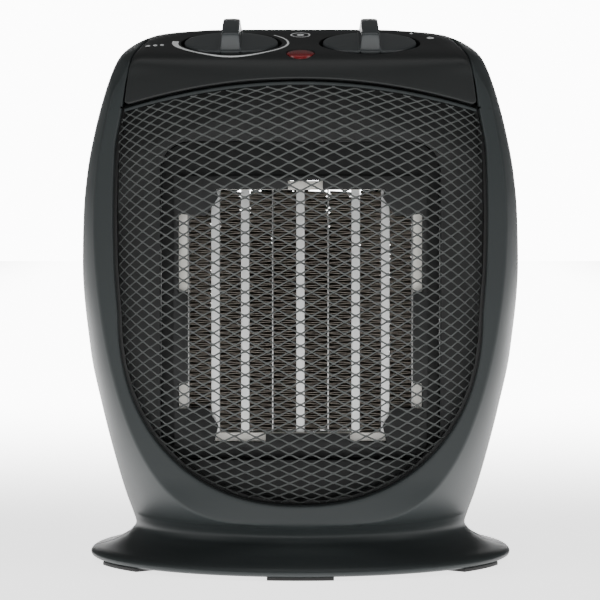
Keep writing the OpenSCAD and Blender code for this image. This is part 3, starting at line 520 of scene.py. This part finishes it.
def shade(piece, sharp):
    for polygon in piece.data.polygons:
        polygon.use_smooth = True
    piece.data.set_sharp_from_angle(angle=math.radians(sharp))


def softened(node, slot, width):
    """The CAD node's own shape with its edges rounded by width."""
    source = frame["nodes"][node]
    data = source.data.copy()
    piece = bpy.data.objects.new(node + "_piece", data)
    bpy.context.scene.collection.objects.link(piece)
    bm = bmesh.new()
    bm.from_mesh(data)
    bmesh.ops.remove_doubles(bm, verts=bm.verts, dist=1e-6)
    flat = [e for e in bm.edges if len(e.link_faces) == 2 and e.calc_face_angle() < 0.002]
    bmesh.ops.dissolve_edges(bm, edges=flat, use_verts=False)
    corners = [e for e in bm.edges if len(e.link_faces) == 2 and e.calc_face_angle() > math.radians(40)]
    if width > 0:
        bmesh.ops.bevel(bm, geom=corners, offset=width * MM, segments=2, profile=0.6, affect="EDGES",
                        clamp_overlap=True)
    bm.to_mesh(data)
    bm.free()
    data.materials.clear()
    data.materials.append(MATERIALS[slot])
    shade(piece, 40)
    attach(piece, source["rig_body"])
    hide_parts(node)
    return piece


# ---- housing surfaces -----------------------------------------------------------------------------

def by_length(points, count, ease=1.0):
    """count points spread evenly along a polyline; ease above 1 crowds them towards its start."""
    step = np.linalg.norm(np.diff(points, axis=0), axis=1)
    run = np.concatenate([[0], np.cumsum(step)])
    want = np.linspace(0, 1, count) ** ease * run[-1]
    return np.stack([np.interp(want, run, points[:, k]) for k in range(points.shape[1])], 1)


def flank_row(z, start, count, ease=1.0):
    """Points of the right flank at height z, from x = start to just short of the parting line."""
    s = float(side_half(z))
    q = np.linspace(0, 1, 500)
    x = s - (s - start) * (1 - q) ** 4
    y = flank_y(x, z)
    stop = PARTING_Y - SEAM - EDGE_R
    keep = y < stop
    x = np.append(x[keep], np.interp(stop, y, x))
    y = np.append(y[keep], stop)
    row = by_length(np.stack([x, y], 1), count, ease)
    return np.column_stack([row, np.full(count, z)])


def back_row(z, count):
    """Points of the back at height z, from right to left."""
    s, yb = float(side_half(z)), float(curve(BACK, z))
    p = 2 / (2.3 + 0.5 * float(smooth(10, 40, z)))
    a = np.linspace(0, math.pi / 2, 800)
    x, y = s * np.cos(a) ** p, PARTING_Y + (yb - PARTING_Y) * np.sin(a) ** p
    x[-1] = 0
    start = PARTING_Y + SEAM + EDGE_R
    keep = y > start
    x = np.append(np.interp(start, y, x), x[keep])
    y = np.append(start, y[keep])
    half = by_length(np.stack([x, y], 1), count)
    row = np.vstack([half, half[-2::-1] * (-1, 1)])
    return np.column_stack([row, np.full(len(row), z)])


def crown_rows(last, count=10):
    """Rows that close the crown over from its last level row."""
    rows = []
    for k in np.append(np.linspace(1, 0, count + 1)[1:-1], [.04, .01]):
        row = last.copy()
        row[:, 0] *= k
        row[:, 1] = PARTING_Y + (last[:, 1] - PARTING_Y) * k
        row[:, 2] = CROWN_Z + 0.5 * (1 - k * k)
        rows.append(row)
    return rows


TOP_FROM = 187.0
TOP_LEVELS = np.concatenate([np.arange(TOP_FROM, 204, 1.0), np.arange(204, 219, 0.3),
                             np.arange(219, CROWN_Z, 0.15), [CROWN_Z]])
LOW_LEVELS = np.concatenate([np.arange(1.6, 6, 0.35), np.arange(6, 14, 0.5), np.arange(14, 34, 0.6),
                             np.arange(34, 70, 1.2), np.arange(70, TOP_FROM, 2.2), [TOP_FROM]])


def rounded_crease(outer, corner, inner, steps=6):
    """Curve from outer to inner that rounds the corner between them."""
    t = np.linspace(0, 1, steps + 1)[:, None]
    return (1 - t) ** 2 * outer + 2 * t * (1 - t) * corner + t**2 * inner


def top_row(z, facing=44, edge=6, flank=30):
    """Right half of the front at height z, from the middle across the face, round its edge and back."""
    f, width = float(face_half(z)), float(crease_width(z))
    x = np.linspace(0, f - width, facing)
    face = np.column_stack([x, face_y(x, z), np.full(facing, z)])
    side = flank_row(z, f + width, flank, 1.3)
    corner = np.array([f, float(face_y(f, z)), z])
    return np.vstack([face, rounded_crease(face[-1], corner, side[0], edge)[1:-1], side])


def both_sides(row):
    left = row[1:][::-1] * (-1, 1, 1)
    return np.vstack([left, row])


def top_surface():
    rows = [both_sides(top_row(z)) for z in TOP_LEVELS]
    return grid(np.array(rows + crown_rows(rows[-1])))


def flank_surface():
    """Both flanks, the neck and the flared foot, cut off at the crease."""
    rows = []
    for z in LOW_LEVELS:
        start = max(0.0, float(face_half(z)) - 5) if z > FACE_LOW else 0.0
        rows.append(flank_row(z, start, 64))
    right = grid(np.array(rows))
    both = welded(joined(right, mirror_x(right)), 0.001)
    width = float(crease_width(0))
    return trim(both, lambda p: crease_distance(p[:, [0, 2]])[0] - width)


def on_ray(outline, angles):
    """Points where rays down from (0, 100) at these angles below the horizontal cross a half outline."""
    rel = outline - (0, 100)
    own = np.arctan2(-rel[:, 1], rel[:, 0])
    order = np.argsort(own)
    return np.stack([np.interp(angles, own[order], outline[order, k]) for k in range(2)], 1)


def bezel_surface():
    """The flat band round the grille with both its edges, the inner one running back as a wall."""
    heights = np.arange(TOP_FROM, 100, -1.5)
    rays = np.radians(np.linspace(0, 90, 150))
    crease = np.vstack([np.column_stack([face_half(heights), heights]), on_ray(CREASE_HALF, rays)])
    opening_half = VOID[: len(VOID) // 2]
    opening = np.vstack([np.column_stack([opening_side(heights), heights]), on_ray(opening_half, rays)])
    crease = np.vstack([crease, crease[-2::-1] * (-1, 1)])
    opening = np.vstack([opening, opening[-2::-1] * (-1, 1)])

    def outward(line):
        along = np.gradient(line, axis=0)
        side = np.stack([-along[:, 1], along[:, 0]], 1)
        side /= np.linalg.norm(side, axis=1)[:, None]
        return side * np.sign((side * (line - (0, 110))).sum(1))[:, None]

    width = float(crease_width(0))
    out_c, out_o = outward(crease), outward(opening)
    outer, inner = crease + out_c * width, crease - out_c * width
    lip = opening + out_o * (SEAM + EDGE_R)

    def on_face(q):
        return np.column_stack([q[:, 0], face_y(q[:, 0], q[:, 1]), q[:, 1]])

    outer3 = np.column_stack([outer[:, 0], flank_y(outer[:, 0], outer[:, 1]), outer[:, 1]])
    columns = list(np.swapaxes(np.array([rounded_crease(a, b, c) for a, b, c in
                                         zip(outer3, on_face(crease), on_face(inner))]), 0, 1))
    columns += [on_face(inner + (lip - inner) * t) for t in np.linspace(0, 1, 9)[1:]]
    inward = np.column_stack([-out_o[:, 0], np.zeros(len(out_o)), -out_o[:, 1]])
    back = np.array([0, 1.0, 0])
    edge = columns[-1]
    for a in np.radians([22, 45, 67, 90]):
        columns.append(edge + EDGE_R * (math.sin(a) * inward + (1 - math.cos(a)) * back))
    columns.append(columns[-1] + back * 11 + inward * 0.3)
    return flipped(grid(np.swapaxes(np.array(columns), 0, 1)))


def panel_point(x, u, v, w):
    """Point from the panel's own axes about a knob's axis: u right, v up its slope, w out of it."""
    origin = np.array(JOINTS["mode_turn"]["pos_m"]) / MM
    k = np.array(JOINTS["mode_turn"]["axis"], float)
    k /= np.linalg.norm(k)
    up = np.array([0, k[2], -k[1]])
    u, v, w = np.broadcast_arrays(np.asarray(u, float), v, w)
    base = np.array([x, origin[1], origin[2]])
    return base + u[..., None] * np.array([1.0, 0, 0]) + v[..., None] * up + w[..., None] * k


def panel_axes(p, x):
    """(u, v) of points, about the axis at x."""
    origin = panel_point(x, 0, 0, 0)
    up = panel_point(x, 0, 1, 0) - origin
    rel = p - origin
    return rel[:, 0], rel @ up


KNOB_X = float(JOINTS["mode_turn"]["pos_m"][0]) / MM
KNOB_R = 19.0
CUP_R = KNOB_R + 1.4
LENS_V, LENS_R = -18.6, 5.6


def round_hole(x, v0, r):
    def field(p):
        u, v = panel_axes(p, x)
        return np.hypot(u, v - v0) - r
    return field


def front_shell():
    bare = top_surface()
    shell = trim(bare, lambda p: void_field(p) - SEAM - EDGE_R)
    shell = rolled(shell, EDGE_R, WALL, where=lambda p: p[:, 2] > TOP_FROM + 0.01)
    low = rolled(flank_surface(), EDGE_R, WALL, where=open_rim)
    return joined(shell, low, bezel_surface())


def open_rim(p):
    """Edge vertices on the parting line or under the foot, and not along the crease or the top row."""
    return (p[:, 1] > PARTING_Y - 1.5) & (p[:, 2] < TOP_FROM - 0.01) | (p[:, 2] < 1.7)


def control_panel():
    cups = [round_hole(x, 0, CUP_R + 0.5) for x in (-KNOB_X, KNOB_X)]
    lens = round_hole(0, LENS_V, LENS_R + 0.65)

    def field(p):
        inside = -void_field(p) - SEAM - EDGE_R
        above = p[:, 2] - arch(p[:, 0]) - EDGE_R - 0.3
        return np.minimum.reduce([inside, above, cups[0](p), cups[1](p), lens(p)])

    return rolled(trim(top_surface(), field), 0.5, WALL)


def knob_cups():
    profile = [(CUP_R, 0.4), (CUP_R, -4.6), (CUP_R - 0.3, -5.2), (CUP_R - 0.9, -5.5), (0.01, -5.5)]
    meshes = []
    for x in (-KNOB_X, KNOB_X):
        v, f = flipped(lathe(profile))
        meshes.append((panel_point(x, v[:, 0], v[:, 1], v[:, 2] - 0.5), f))
    return joined(*meshes)


def lip_strip():
    """Thin strip between the panel's lower edge and the grille."""
    x = np.linspace(-70, 70, 90)
    z = arch(x) - 1.5
    path = np.column_stack([x, face_y(x, z) + 1.3, z])
    section = [(.65, .3), (.5, .05), (.3, 0), (-.3, 0), (-.5, .05), (-.65, .3), (-.65, 4), (.65, 4)]
    return sweep(path, section, np.array([0, 0, 1.0]), np.array([0, 1.0, 0]))


# ---- back of the housing --------------------------------------------------------------------------

FAN_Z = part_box("motor_shaft")[0].z / MM + 1.6
SLOT_PITCH, SLOT_H, SLOT_REACH = 7.0, 3.6, 51.0
GRIP = (0.0, 191.0, 38.0, 11.0)           # middle, half-width and half-height of the hand-hold
GRIP_FLOOR_Y = 30.0
SCREWS = [(-64, 60), (64, 60), (-64, 172), (64, 172)]
INLET = (-24.0, 26.0)


def rounded_box(cx, cz, hx, hz, r):
    def field(p):
        dx, dz = np.abs(p[:, 0] - cx) - hx + r, np.abs(p[:, 2] - cz) - hz + r
        return np.hypot(np.maximum(dx, 0), np.maximum(dz, 0)) + np.minimum(np.maximum(dx, dz), 0) - r
    return field


def slots():
    fields = []
    for i in range(-7, 8):
        reach = math.sqrt(SLOT_REACH**2 - (i * SLOT_PITCH) ** 2)
        if reach > 14:
            for side in (-1, 1):
                fields.append(rounded_box(side * (reach + 2.5) / 2, FAN_Z + i * SLOT_PITCH,
                                          (reach - 2.5) / 2, SLOT_H / 2, SLOT_H / 2 - 0.05))
    return fields


def back_surface():
    levels = np.concatenate([np.arange(1.6, 16, 0.5), np.arange(16, 54, 1.3), np.arange(54, 206, 1.0),
                             np.arange(206, 219, 0.4), np.arange(219, CROWN_Z, 0.2), [CROWN_Z]])
    rows = [back_row(z, 86) for z in levels]
    return grid(np.array(rows + crown_rows(rows[-1])))


def lap():
    """The rear housing's lip, which covers the joint from the inside."""
    z = np.linspace(8, 216.5, 120)
    line = mirrored(np.column_stack([side_half(z) - WALL - 0.5, z]))
    edges = [np.insert(line, 1, PARTING_Y + d, axis=1) for d in (-1.5, 1.5)]
    return grid(np.stack(edges, 1))


def rear_shell():
    holes = slots()
    grip = rounded_box(*GRIP, 5.0)
    rounds = [rounded_box(x, z, 3.4, 3.4, 3.39) for x, z in SCREWS] + [rounded_box(*INLET, 5.5, 5.5, 5.49)]

    def field(p):
        small = np.minimum.reduce([h(p) for h in holes + rounds]) - 0.5
        return np.minimum(small, grip(p) - 1.0)

    shell = trim(back_surface(), field)
    around_grip = lambda p: grip(p) < 2.0
    shell = rolled(shell, 0.5, WALL, where=lambda p: ~around_grip(p))
    shell = rolled(shell, 1.0, 0, where=around_grip,
                   wall_end=lambda ring: ring * (1, 0, 1) + (0, GRIP_FLOOR_Y, 0))
    return joined(shell, lap())


def grip_floor():
    x = np.linspace(-1, 1, 24)[None, :] * (GRIP[2] + 0.5)
    z = GRIP[1] + np.linspace(-1, 1, 10)[:, None] * (GRIP[3] + 0.5)
    x, z = np.broadcast_arrays(x, z)
    y = GRIP_FLOOR_Y + 0.02 * (z - GRIP[1]) ** 2 * 0.1
    return flipped(grid(np.stack([x, y, z], 2)))


# ---- knobs ----------------------------------------------------------------------------------------

GRIP_HALF = 3.5            # half the width of the bar across a knob
BAR_TOP = [(-17.8, 5.9), (-16.9, 6.7), (-15, 7.3), (-8, 7.7), (0, 7.7), (8, 7.3), (14, 6.6), (17.8, 5.4)]


def bar_section():
    """(distance across, share of the bar's height) from the disc up over the bar's edge to its middle."""
    foot, top = 0.9, 1.0
    points = [(KNOB_R, 0), (13, 0), (8, 0), (GRIP_HALF + 0.7 + foot, 0)]
    for a in np.radians([20, 45, 70, 90]):
        points.append((GRIP_HALF + 0.7 + foot - foot * math.sin(a), 0.1 * (1 - math.cos(a))))
    points += [(GRIP_HALF + 0.45, 0.35), (GRIP_HALF + 0.2, 0.6), (GRIP_HALF, 0.86)]
    for a in np.radians([25, 50, 70, 90]):
        points.append((GRIP_HALF - top * (1 - math.cos(a)), 0.86 + 0.125 * math.sin(a)))
    points += [(1.6, 0.994), (0.8, 0.999)]
    half = points + [(0, 1.0)]
    return half + [(-v, s) for v, s in points[::-1]]


def knob_top(x):
    """Disc and bar as one surface with a rounded rim, in the panel's axes at x."""
    section = np.array(bar_section())
    half = [0, 3, 6, 9, 12, 14, 15.5, 16.4, 16.9, 17.05, 17.2, 17.3, 17.4, 17.5, 17.6, 17.7, 17.9, 18.2,
            18.6, 19]
    v = np.array([-h for h in half[:0:-1]] + half, float)
    end = 1 - smooth(16.9, 17.7, np.abs(v))
    top = curve(BAR_TOP, v)
    vv, across = np.broadcast_arrays(v[:, None], section[None, :, 0])
    radius = np.hypot(vv, across)
    disc = 0.55 + 0.35 * np.clip(1 - (radius / KNOB_R) ** 2, 0, 1)
    height = disc + (top * end)[:, None] * section[None, :, 1]
    mesh = flipped(grid(np.stack([across, vv, height], 2)))
    mesh = trim(mesh, lambda p: KNOB_R - 0.9 - np.hypot(p[:, 0], p[:, 1]))
    flat = mesh[0].copy()
    v3, f3 = rolled((flat, mesh[1]), 0.9, 3.4, wall_end=lambda ring: ring * (1, 1, 0) + (0, 0, -3.6))
    return panel_point(x, v3[:, 0], v3[:, 1], v3[:, 2]), f3


# ---- grille ---------------------------------------------------------------------------------------

STRANDS_ACROSS = 8.8       # mesh of the expanded sheet in its flat middle, long way and short way
STRANDS_UP = 4.75
MESH_Z = 112.0             # height of the sheet's middle
STRAND_W, STRAND_T = 0.64, 0.42
TILT = math.radians(48)    # how far each strand is turned out of the sheet
BOND = 0.45                # half the length of the joint between two strands
BULGE = 12.0               # how far the middle stands in front of the border
BORDER_Y = -57.0
INSET = 0.6                # clear of the bezel's edge


def open_half(z):
    fall = np.clip((OPEN_TURN - z) / (OPEN_TURN - OPEN_LOW), 0, 1)
    round_bottom = OPENING[0][1] * (1 - fall ** OPEN_POWERS[0]) ** OPEN_POWERS[1]
    return np.where(fall > 0, round_bottom, curve(OPENING, z))


def pillow(x, z):
    """Share of the bulge at (x, z): 1 in the middle and 0 at the edge of the opening."""
    side = np.abs(x) / OPENING[0][1]
    down = np.clip((OPEN_TURN - z) / (OPEN_TURN - OPEN_LOW), 0, None)
    lower = 1 - (side**2.2 + down**2.2) ** (2.6 / 2.2)
    across = np.abs(x) / np.maximum(open_half(np.maximum(z, OPEN_TURN)), 1)
    up = np.clip((z - OPEN_TURN) / (arch(x) - OPEN_TURN), 0, None)
    upper = (1 - across**2.6) * np.clip(1 - up**2.4, 0, None)
    return np.clip(np.where(z < OPEN_TURN, lower, upper), 0, 1) ** 0.8


def sheet_y(x, z):
    return BORDER_Y - BULGE * pillow(x, z)


def crowding():
    """Distances in the sheet, and where they come in the front view, across and up from the middle."""
    t = np.linspace(0, 0.995, 400)
    steep = t**1.6 * (1 - t**2.6) ** -0.2
    maps = []
    for reach, slope in ((OPENING[0][1] + 1, 1.25), (OPEN_TURN - OPEN_LOW + 8, 0.75)):
        run = np.sqrt(1 + (slope * steep) ** 2)
        length = np.concatenate([[0], np.cumsum((run[1:] + run[:-1]) / 2 * np.diff(t))]) * reach
        maps.append((length, t * reach))
    return maps


def strand_rows():
    """Rings of four corners along every chain of strands, in the front view, with their depth."""
    (flat_x, seen_x), (flat_z, seen_z) = crowding()
    corners = [(1, 1), (1, -1), (-1, -1), (-1, 1)]
    columns = int(flat_x[-1] / (STRANDS_ACROSS / 2))
    lift, lean = STRAND_W / 2 * math.cos(TILT), STRAND_W / 2 * math.sin(TILT)
    chains = []
    for k in range(-46, 47):
        path = []
        for i in range(-columns, columns + 1):
            up = (i + k) % 2
            z = k * STRANDS_UP / 2 + (STRANDS_UP / 2 - lift if up else lift)
            for dx in (-BOND, 0, BOND):
                path.append((i * STRANDS_ACROSS / 2 + dx, lean if up else -lean, z))
        path = np.array(path)
        middle = STRANDS_UP / 2 * (k + 0.5)
        x = np.sign(path[:, 0]) * np.interp(np.abs(path[:, 0]), flat_x, seen_x)
        squeeze = 1 - 0.10 * (x / OPENING[0][1]) ** 2
        z_flat = np.abs(path[:, 2])
        beyond = np.maximum(z_flat - flat_z[-1], 0)
        z = np.sign(path[:, 2]) * (np.interp(z_flat, flat_z, seen_z) + beyond * 0.6) * squeeze + MESH_Z
        if abs(middle) > 110:
            continue
        rings = []
        for a, b in corners:
            dy = -math.sin(TILT) * a * STRAND_W / 2 + math.cos(TILT) * b * STRAND_T / 2
            dz = math.cos(TILT) * a * STRAND_W / 2 + math.sin(TILT) * b * STRAND_T / 2
            rings.append(np.column_stack([x, path[:, 1] + dy, z + dz]))
        chains.append(np.stack(rings, 1))
    return chains


def grille_mesh():
    measure = distance_to(grille_outline())
    meshes = []
    for ring in strand_rows():
        reach = measure(ring.mean(1)[:, [0, 2]])[0]
        cuts = np.where((reach[1:] < 0) != (reach[:-1] < 0))[0]
        share = (reach[cuts] / (reach[cuts] - reach[cuts + 1]))[:, None, None]
        ring = np.insert(ring, cuts + 1, ring[cuts] + (ring[cuts + 1] - ring[cuts]) * share, axis=0)
        inside = np.insert(reach, cuts + 1, -1e-9) < 0
        middle = ring.mean(1)
        x, z = ring[:, :, 0], ring[:, :, 2]
        y = sheet_y(middle[:, 0], middle[:, 2])[:, None] + ring[:, :, 1]
        slope = sheet_y(middle[:, 0], middle[:, 2] + 0.5) - sheet_y(middle[:, 0], middle[:, 2] - 0.5)
        y = y + slope[:, None] * (z - middle[:, 2:3])
        points = np.stack([x, y, z], 2)
        start = None
        for i in range(len(inside) + 1):
            if i < len(inside) and inside[i]:
                start = i if start is None else start
            elif start is not None:
                if i - start > 2:
                    part = points[start:i]
                    tube = grid(np.concatenate([part, part[:, :1]], 1))
                    last = (len(part) - 1) * 5
                    meshes.append((tube[0], tube[1] + [[3, 2, 1, 0], [last, last + 1, last + 2, last + 3]]))
                start = None
    return joined(*meshes)


def grille_outline():
    right = half_outline(OPEN_LOW, OPEN_TURN, OPENING[0][1], OPEN_POWERS, opening_side, 188)
    out = np.gradient(right, axis=0)
    out = np.stack([out[:, 1], -out[:, 0]], 1) / np.linalg.norm(out, axis=1)[:, None]
    right = right - out * INSET
    right = right[right[:, 1] < arch(70) - 2.4]
    right[0, 0] = 0
    roof = np.array([(x, arch(x) - 2.4) for x in np.linspace(70.2, 0, 40)])
    return mirrored(np.vstack([right, roof]))


# ---- heating stack --------------------------------------------------------------------------------

STACK_LOW, STACK_HIGH = (c.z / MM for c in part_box("ptc_bars"))
STACK_FRONT, STACK_BACK = (c.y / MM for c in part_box("ptc_bars"))
BARS = [-34.3, -22.3, 0, 22.3, 34.3]
PLATES = [-45.2, -11.2, 11.2, 45.2]
BAR_HALF, PLATE_HALF = 1.7, 0.3
FIN_PITCH = 1.9
CHEVRON = 1.1              # rise of a fin between its edges and its middle


def fin_columns():
    walls = sorted([(x - BAR_HALF, x + BAR_HALF) for x in BARS]
                   + [(x - PLATE_HALF, x + PLATE_HALF) for x in PLATES])
    return [(a[1], b[0]) for a, b in zip(walls, walls[1:])]


def fins():
    """Corrugated strips, bent like a chevron in depth: each turn is a fold against the bar on its side."""
    meshes = []
    folds = round((STACK_HIGH - STACK_LOW - 0.9 - CHEVRON) / FIN_PITCH)
    pitch = (STACK_HIGH - STACK_LOW - 0.9 - CHEVRON) / folds
    front, back = STACK_FRONT + 0.25, STACK_BACK - 0.25
    middle = (front + back) / 2
    for x0, x1 in fin_columns():
        line = []
        for i in range(folds):
            z = STACK_LOW + 0.6 + i * pitch
            line += [(x0 + 0.12, z + .12), (x0 + 0.3, z + .32), (x1 - 0.35, z + pitch / 2 - 0.12),
                     (x1 - 0.12, z + pitch / 2 + .12), (x1 - 0.3, z + pitch / 2 + .32),
                     (x0 + 0.35, z + pitch - 0.12)]
        line = np.array(line)
        along = np.gradient(line, axis=0)
        side = np.stack([-along[:, 1], along[:, 0]], 1)
        side /= np.linalg.norm(side, axis=1)[:, None]
        half = 0.09
        near, far = line + side * half, line - side * half
        ring = [(near, front, 0), (near, middle, CHEVRON), (near, back, 0), (far, back, 0),
                (far, middle, CHEVRON), (far, front, 0), (near, front, 0)]
        meshes.append(grid(np.stack([np.column_stack([q[:, 0], np.full(len(q), y), q[:, 1] + rise])
                                     for q, y, rise in ring], 1)))
    return joined(*meshes)


# ---- printed marks --------------------------------------------------------------------------------

def panel_surface(x, u, v, lift):
    """Points on the panel's own curved surface under (u, v), raised by lift."""
    low, high = np.full(np.shape(u), -7.0), np.full(np.shape(u), 3.0)
    for _ in range(26):
        mid = (low + high) / 2
        p = panel_point(x, u, v, mid)
        width = face_half(p[..., 2])
        ax = np.abs(p[..., 0])
        y = np.where(ax < width, face_y(ax, p[..., 2]), flank_y(np.maximum(ax, width), p[..., 2]))
        outside = (p[..., 1] < y) | (p[..., 2] > CROWN_Z)
        high, low = np.where(outside, mid, high), np.where(outside, low, mid)
    return panel_point(x, u, v, high + lift)


def heat_scale():
    """White mark round the thermostat knob, thick at its hot end and thin at the other."""
    angles = np.radians(np.linspace(172, 402, 140))
    t = np.linspace(0, 1, 140)
    half = 1.3 - 0.75 * smooth(0, .30, t) - 0.2 * smooth(.6, 1, t)
    radius = 22.7 + 0.4 * t
    across = np.linspace(1, -1, 7)
    rr = radius[:, None] + half[:, None] * across
    a = np.broadcast_to(angles[:, None], rr.shape)
    return flipped(grid(panel_surface(-KNOB_X, rr * np.cos(a), rr * np.sin(a), 0.05)))


def dot(x, v, ru, rv, turn=0.0):
    a = np.linspace(0, 2 * math.pi, 28)
    reach = np.array([1, .6, .2])
    u, w = ru * np.cos(a)[:, None] * reach, rv * np.sin(a)[:, None] * reach
    c, s = math.cos(turn), math.sin(turn)
    return flipped(grid(panel_surface(x, u * c - w * s, v + u * s + w * c, 0.05)))


def ring_mark(x, v, ru, rv, width):
    a = np.linspace(0, 2 * math.pi, 40)
    rows = [panel_surface(x, (ru + d) * np.cos(a), v + (rv + d) * np.sin(a), 0.05) for d in (width, 0)]
    return flipped(grid(np.stack(rows, 1)))


def small_marks():
    """Dots and rings by the controls, which stand for the printed symbols."""
    return joined(dot(-61.5, -6, 1.0, 2.0), dot(-58.6, -5.2, .9, 1.8), dot(-55.9, -4.4, .8, 1.6),
                  ring_mark(0, 16, 3.5, 3.9, .6), dot(0, 16, 1.5, 1.7), dot(53, 10, 1.5, 1.9),
                  dot(45.5, 19, .7, 1.2))


def lens():
    dome = [(LENS_R, -4.0), (LENS_R, -0.5)]
    for a in np.radians(np.linspace(12, 90, 14)):
        dome.append((LENS_R * math.cos(a), -0.5 + 0.9 * math.sin(a)))
    v, f = lathe(dome, 72)
    return panel_point(0, v[:, 0], v[:, 1] + LENS_V, v[:, 2]), f


# ---- assembly -------------------------------------------------------------------------------------

def make_pieces():
    build("front_shell", front_shell(), "housing", "housing_plastic", ["front_housing"], sharp=60)
    build("rear_shell", rear_shell(), "housing", "housing_plastic", ["rear_housing"], sharp=60)
    build("hand_hold_floor", grip_floor(), "housing", "housing_plastic")
    build("panel_shell", control_panel(), "housing", "panel_plastic", ["control_panel"], sharp=60)
    # The knob recesses take the darker inner plastic instead of the panel's: painted shade for the dark gap
    # round each knob.
    build("knob_recesses", knob_cups(), "housing", "inner_plastic")
    build("lip_strip", lip_strip(), "housing", "inner_plastic", material="housing_plastic")
    build("left_knob", knob_top(-KNOB_X), "thermostat_knob", "knob_plastic", ["thermostat_knob"], sharp=60)
    build("right_knob", knob_top(KNOB_X), "mode_knob", "knob_plastic", ["mode_knob"], sharp=60)
    build("lamp_lens", lens(), "housing", "red_lens", ["indicator_lens"])
    build("heat_scale", heat_scale(), "housing", "panel_plastic", material="print_white")
    build("small_marks", small_marks(), "housing", "panel_plastic", material="print_white")
    build("expanded_mesh", grille_mesh(), "housing", "grille_metal", ["mesh_grille"], sharp=30)
    build("fin_strips", fins(), "housing", "fin_metal", ["radiator_fins"])


OWN_SHAPE = {"front_housing", "rear_housing", "control_panel", "thermostat_knob", "mode_knob",
             "indicator_lens", "mesh_grille", "radiator_fins"}
FINE = {"mode_switch_terminals": 0.1, "electrode_plates": 0.1, "rating_plate": 0.06, "fan_clip": 0.1,
        "tip_lever": 0.1, "tip_spring": 0, "wiring": 0, "thermal_fuse": 0.1, "indicator_lamp": 0.1,
        "motor_bracket": 0.2, "thermostat_contacts": 0.12, "housing_screws": 0.12, "grille_screws": 0.12,
        "duct_screws": 0.12, "motor_screws": 0.12, "base_screws": 0.12}


def soften_the_rest():
    for part in frame["record"]["subparts"]:
        node = part["node"]
        if node not in OWN_SHAPE:
            softened(node, part["material_slot"], FINE.get(node, 0.3))


# ---- camera, lights and floor ---------------------------------------------------------------------

BACKDROP = (0.972, 0.990, 0.10, 12.0)    # strength of the world, by how far a direction points to the back
FLOOR_GLOW = (0.1, 0.9, 2.2, 11.0)    # glow of the floor, by the distance behind the heater in metres
SIDE_FADE = (0.35, 0.75, 1.0, 0.08)    # share of the glow, by the distance to either side


def add_camera():
    data = bpy.data.cameras.new("camera")
    data.sensor_width = 36
    data.lens = 186.9
    data.shift_x = -0.0007
    data.shift_y = -0.0109
    camera = bpy.data.objects.new("camera", data)
    camera.location = (0, -1.3, 0.165)
    aim = Vector((0, 0, 0.111)) - camera.location
    camera.rotation_euler = aim.to_track_quat("-Z", "Y").to_euler()
    bpy.context.scene.collection.objects.link(camera)
    bpy.context.scene.camera = camera


def add_area(name, place, target, size, power, colour=(1, 1, 1)):
    data = bpy.data.lights.new(name, "AREA")
    data.shape = "RECTANGLE"
    data.size, data.size_y = size
    data.energy = power
    data.color = colour
    light = bpy.data.objects.new(name, data)
    light.location = place
    light.rotation_euler = (Vector(target) - Vector(place)).to_track_quat("-Z", "Y").to_euler()
    bpy.context.scene.collection.objects.link(light)


def ramped(nodes, links, source, values):
    """A smooth step from values[2] to values[3] while source goes from values[0] to values[1]."""
    ramp = nodes.new("ShaderNodeMapRange")
    ramp.interpolation_type = "SMOOTHSTEP"
    for socket, value in zip(("From Min", "From Max", "To Min", "To Max"), values):
        ramp.inputs[socket].default_value = value
    links.new(source, ramp.inputs["Value"])
    return ramp.outputs["Result"]


def add_floor():
    data = bpy.data.meshes.new("floor")
    data.from_pydata([(-4, -4, 0), (4, -4, 0), (4, 4, 0), (-4, 4, 0)], [], [[0, 1, 2, 3]])
    floor = bpy.data.objects.new("floor", data)
    bpy.context.scene.collection.objects.link(floor)
    material = surface("floor_white", (.9, .9, .9), .8, grain=30, grain_depth=.02, mottle=.01)
    nodes, links = material.node_tree.nodes, material.node_tree.links
    bsdf = nodes["Principled BSDF"]
    bsdf.inputs["Emission Color"].default_value = (1, 1, 1, 1)
    split = nodes.new("ShaderNodeSeparateXYZ")
    links.new(nodes["Texture Coordinate"].outputs["Object"], split.inputs["Vector"])
    side = nodes.new("ShaderNodeMath")
    side.operation = "ABSOLUTE"
    links.new(split.outputs["X"], side.inputs[0])
    glow = nodes.new("ShaderNodeMath")
    glow.operation = "MULTIPLY"
    links.new(ramped(nodes, links, split.outputs["Y"], FLOOR_GLOW), glow.inputs[0])
    links.new(ramped(nodes, links, side.outputs["Value"], SIDE_FADE), glow.inputs[1])
    links.new(glow.outputs["Value"], bsdf.inputs["Emission Strength"])
    data.materials.append(material)


def add_world():
    world = bpy.data.worlds.new("world")
    world.use_nodes = True
    nodes, links = world.node_tree.nodes, world.node_tree.links
    back = nodes["Background"]
    coords = nodes.new("ShaderNodeTexCoord")
    split = nodes.new("ShaderNodeSeparateXYZ")
    links.new(coords.outputs["Generated"], split.inputs["Vector"])
    links.new(ramped(nodes, links, split.outputs["Y"], BACKDROP), back.inputs["Strength"])
    back.inputs["Color"].default_value = (1, 1, 1, 1)
    bpy.context.scene.world = world


make_pieces()
soften_the_rest()
add_camera()
add_world()
add_area("left", (-1.3, -0.55, 0.55), (0, 0, 0.12), (0.7, 1.0), 4)
add_area("right", (1.3, -0.55, 0.55), (0, 0, 0.12), (0.7, 1.0), 4)
add_area("top", (0, -0.5, 1.5), (0, 0, 0.12), (1.6, 1.2), 8)
add_floor()
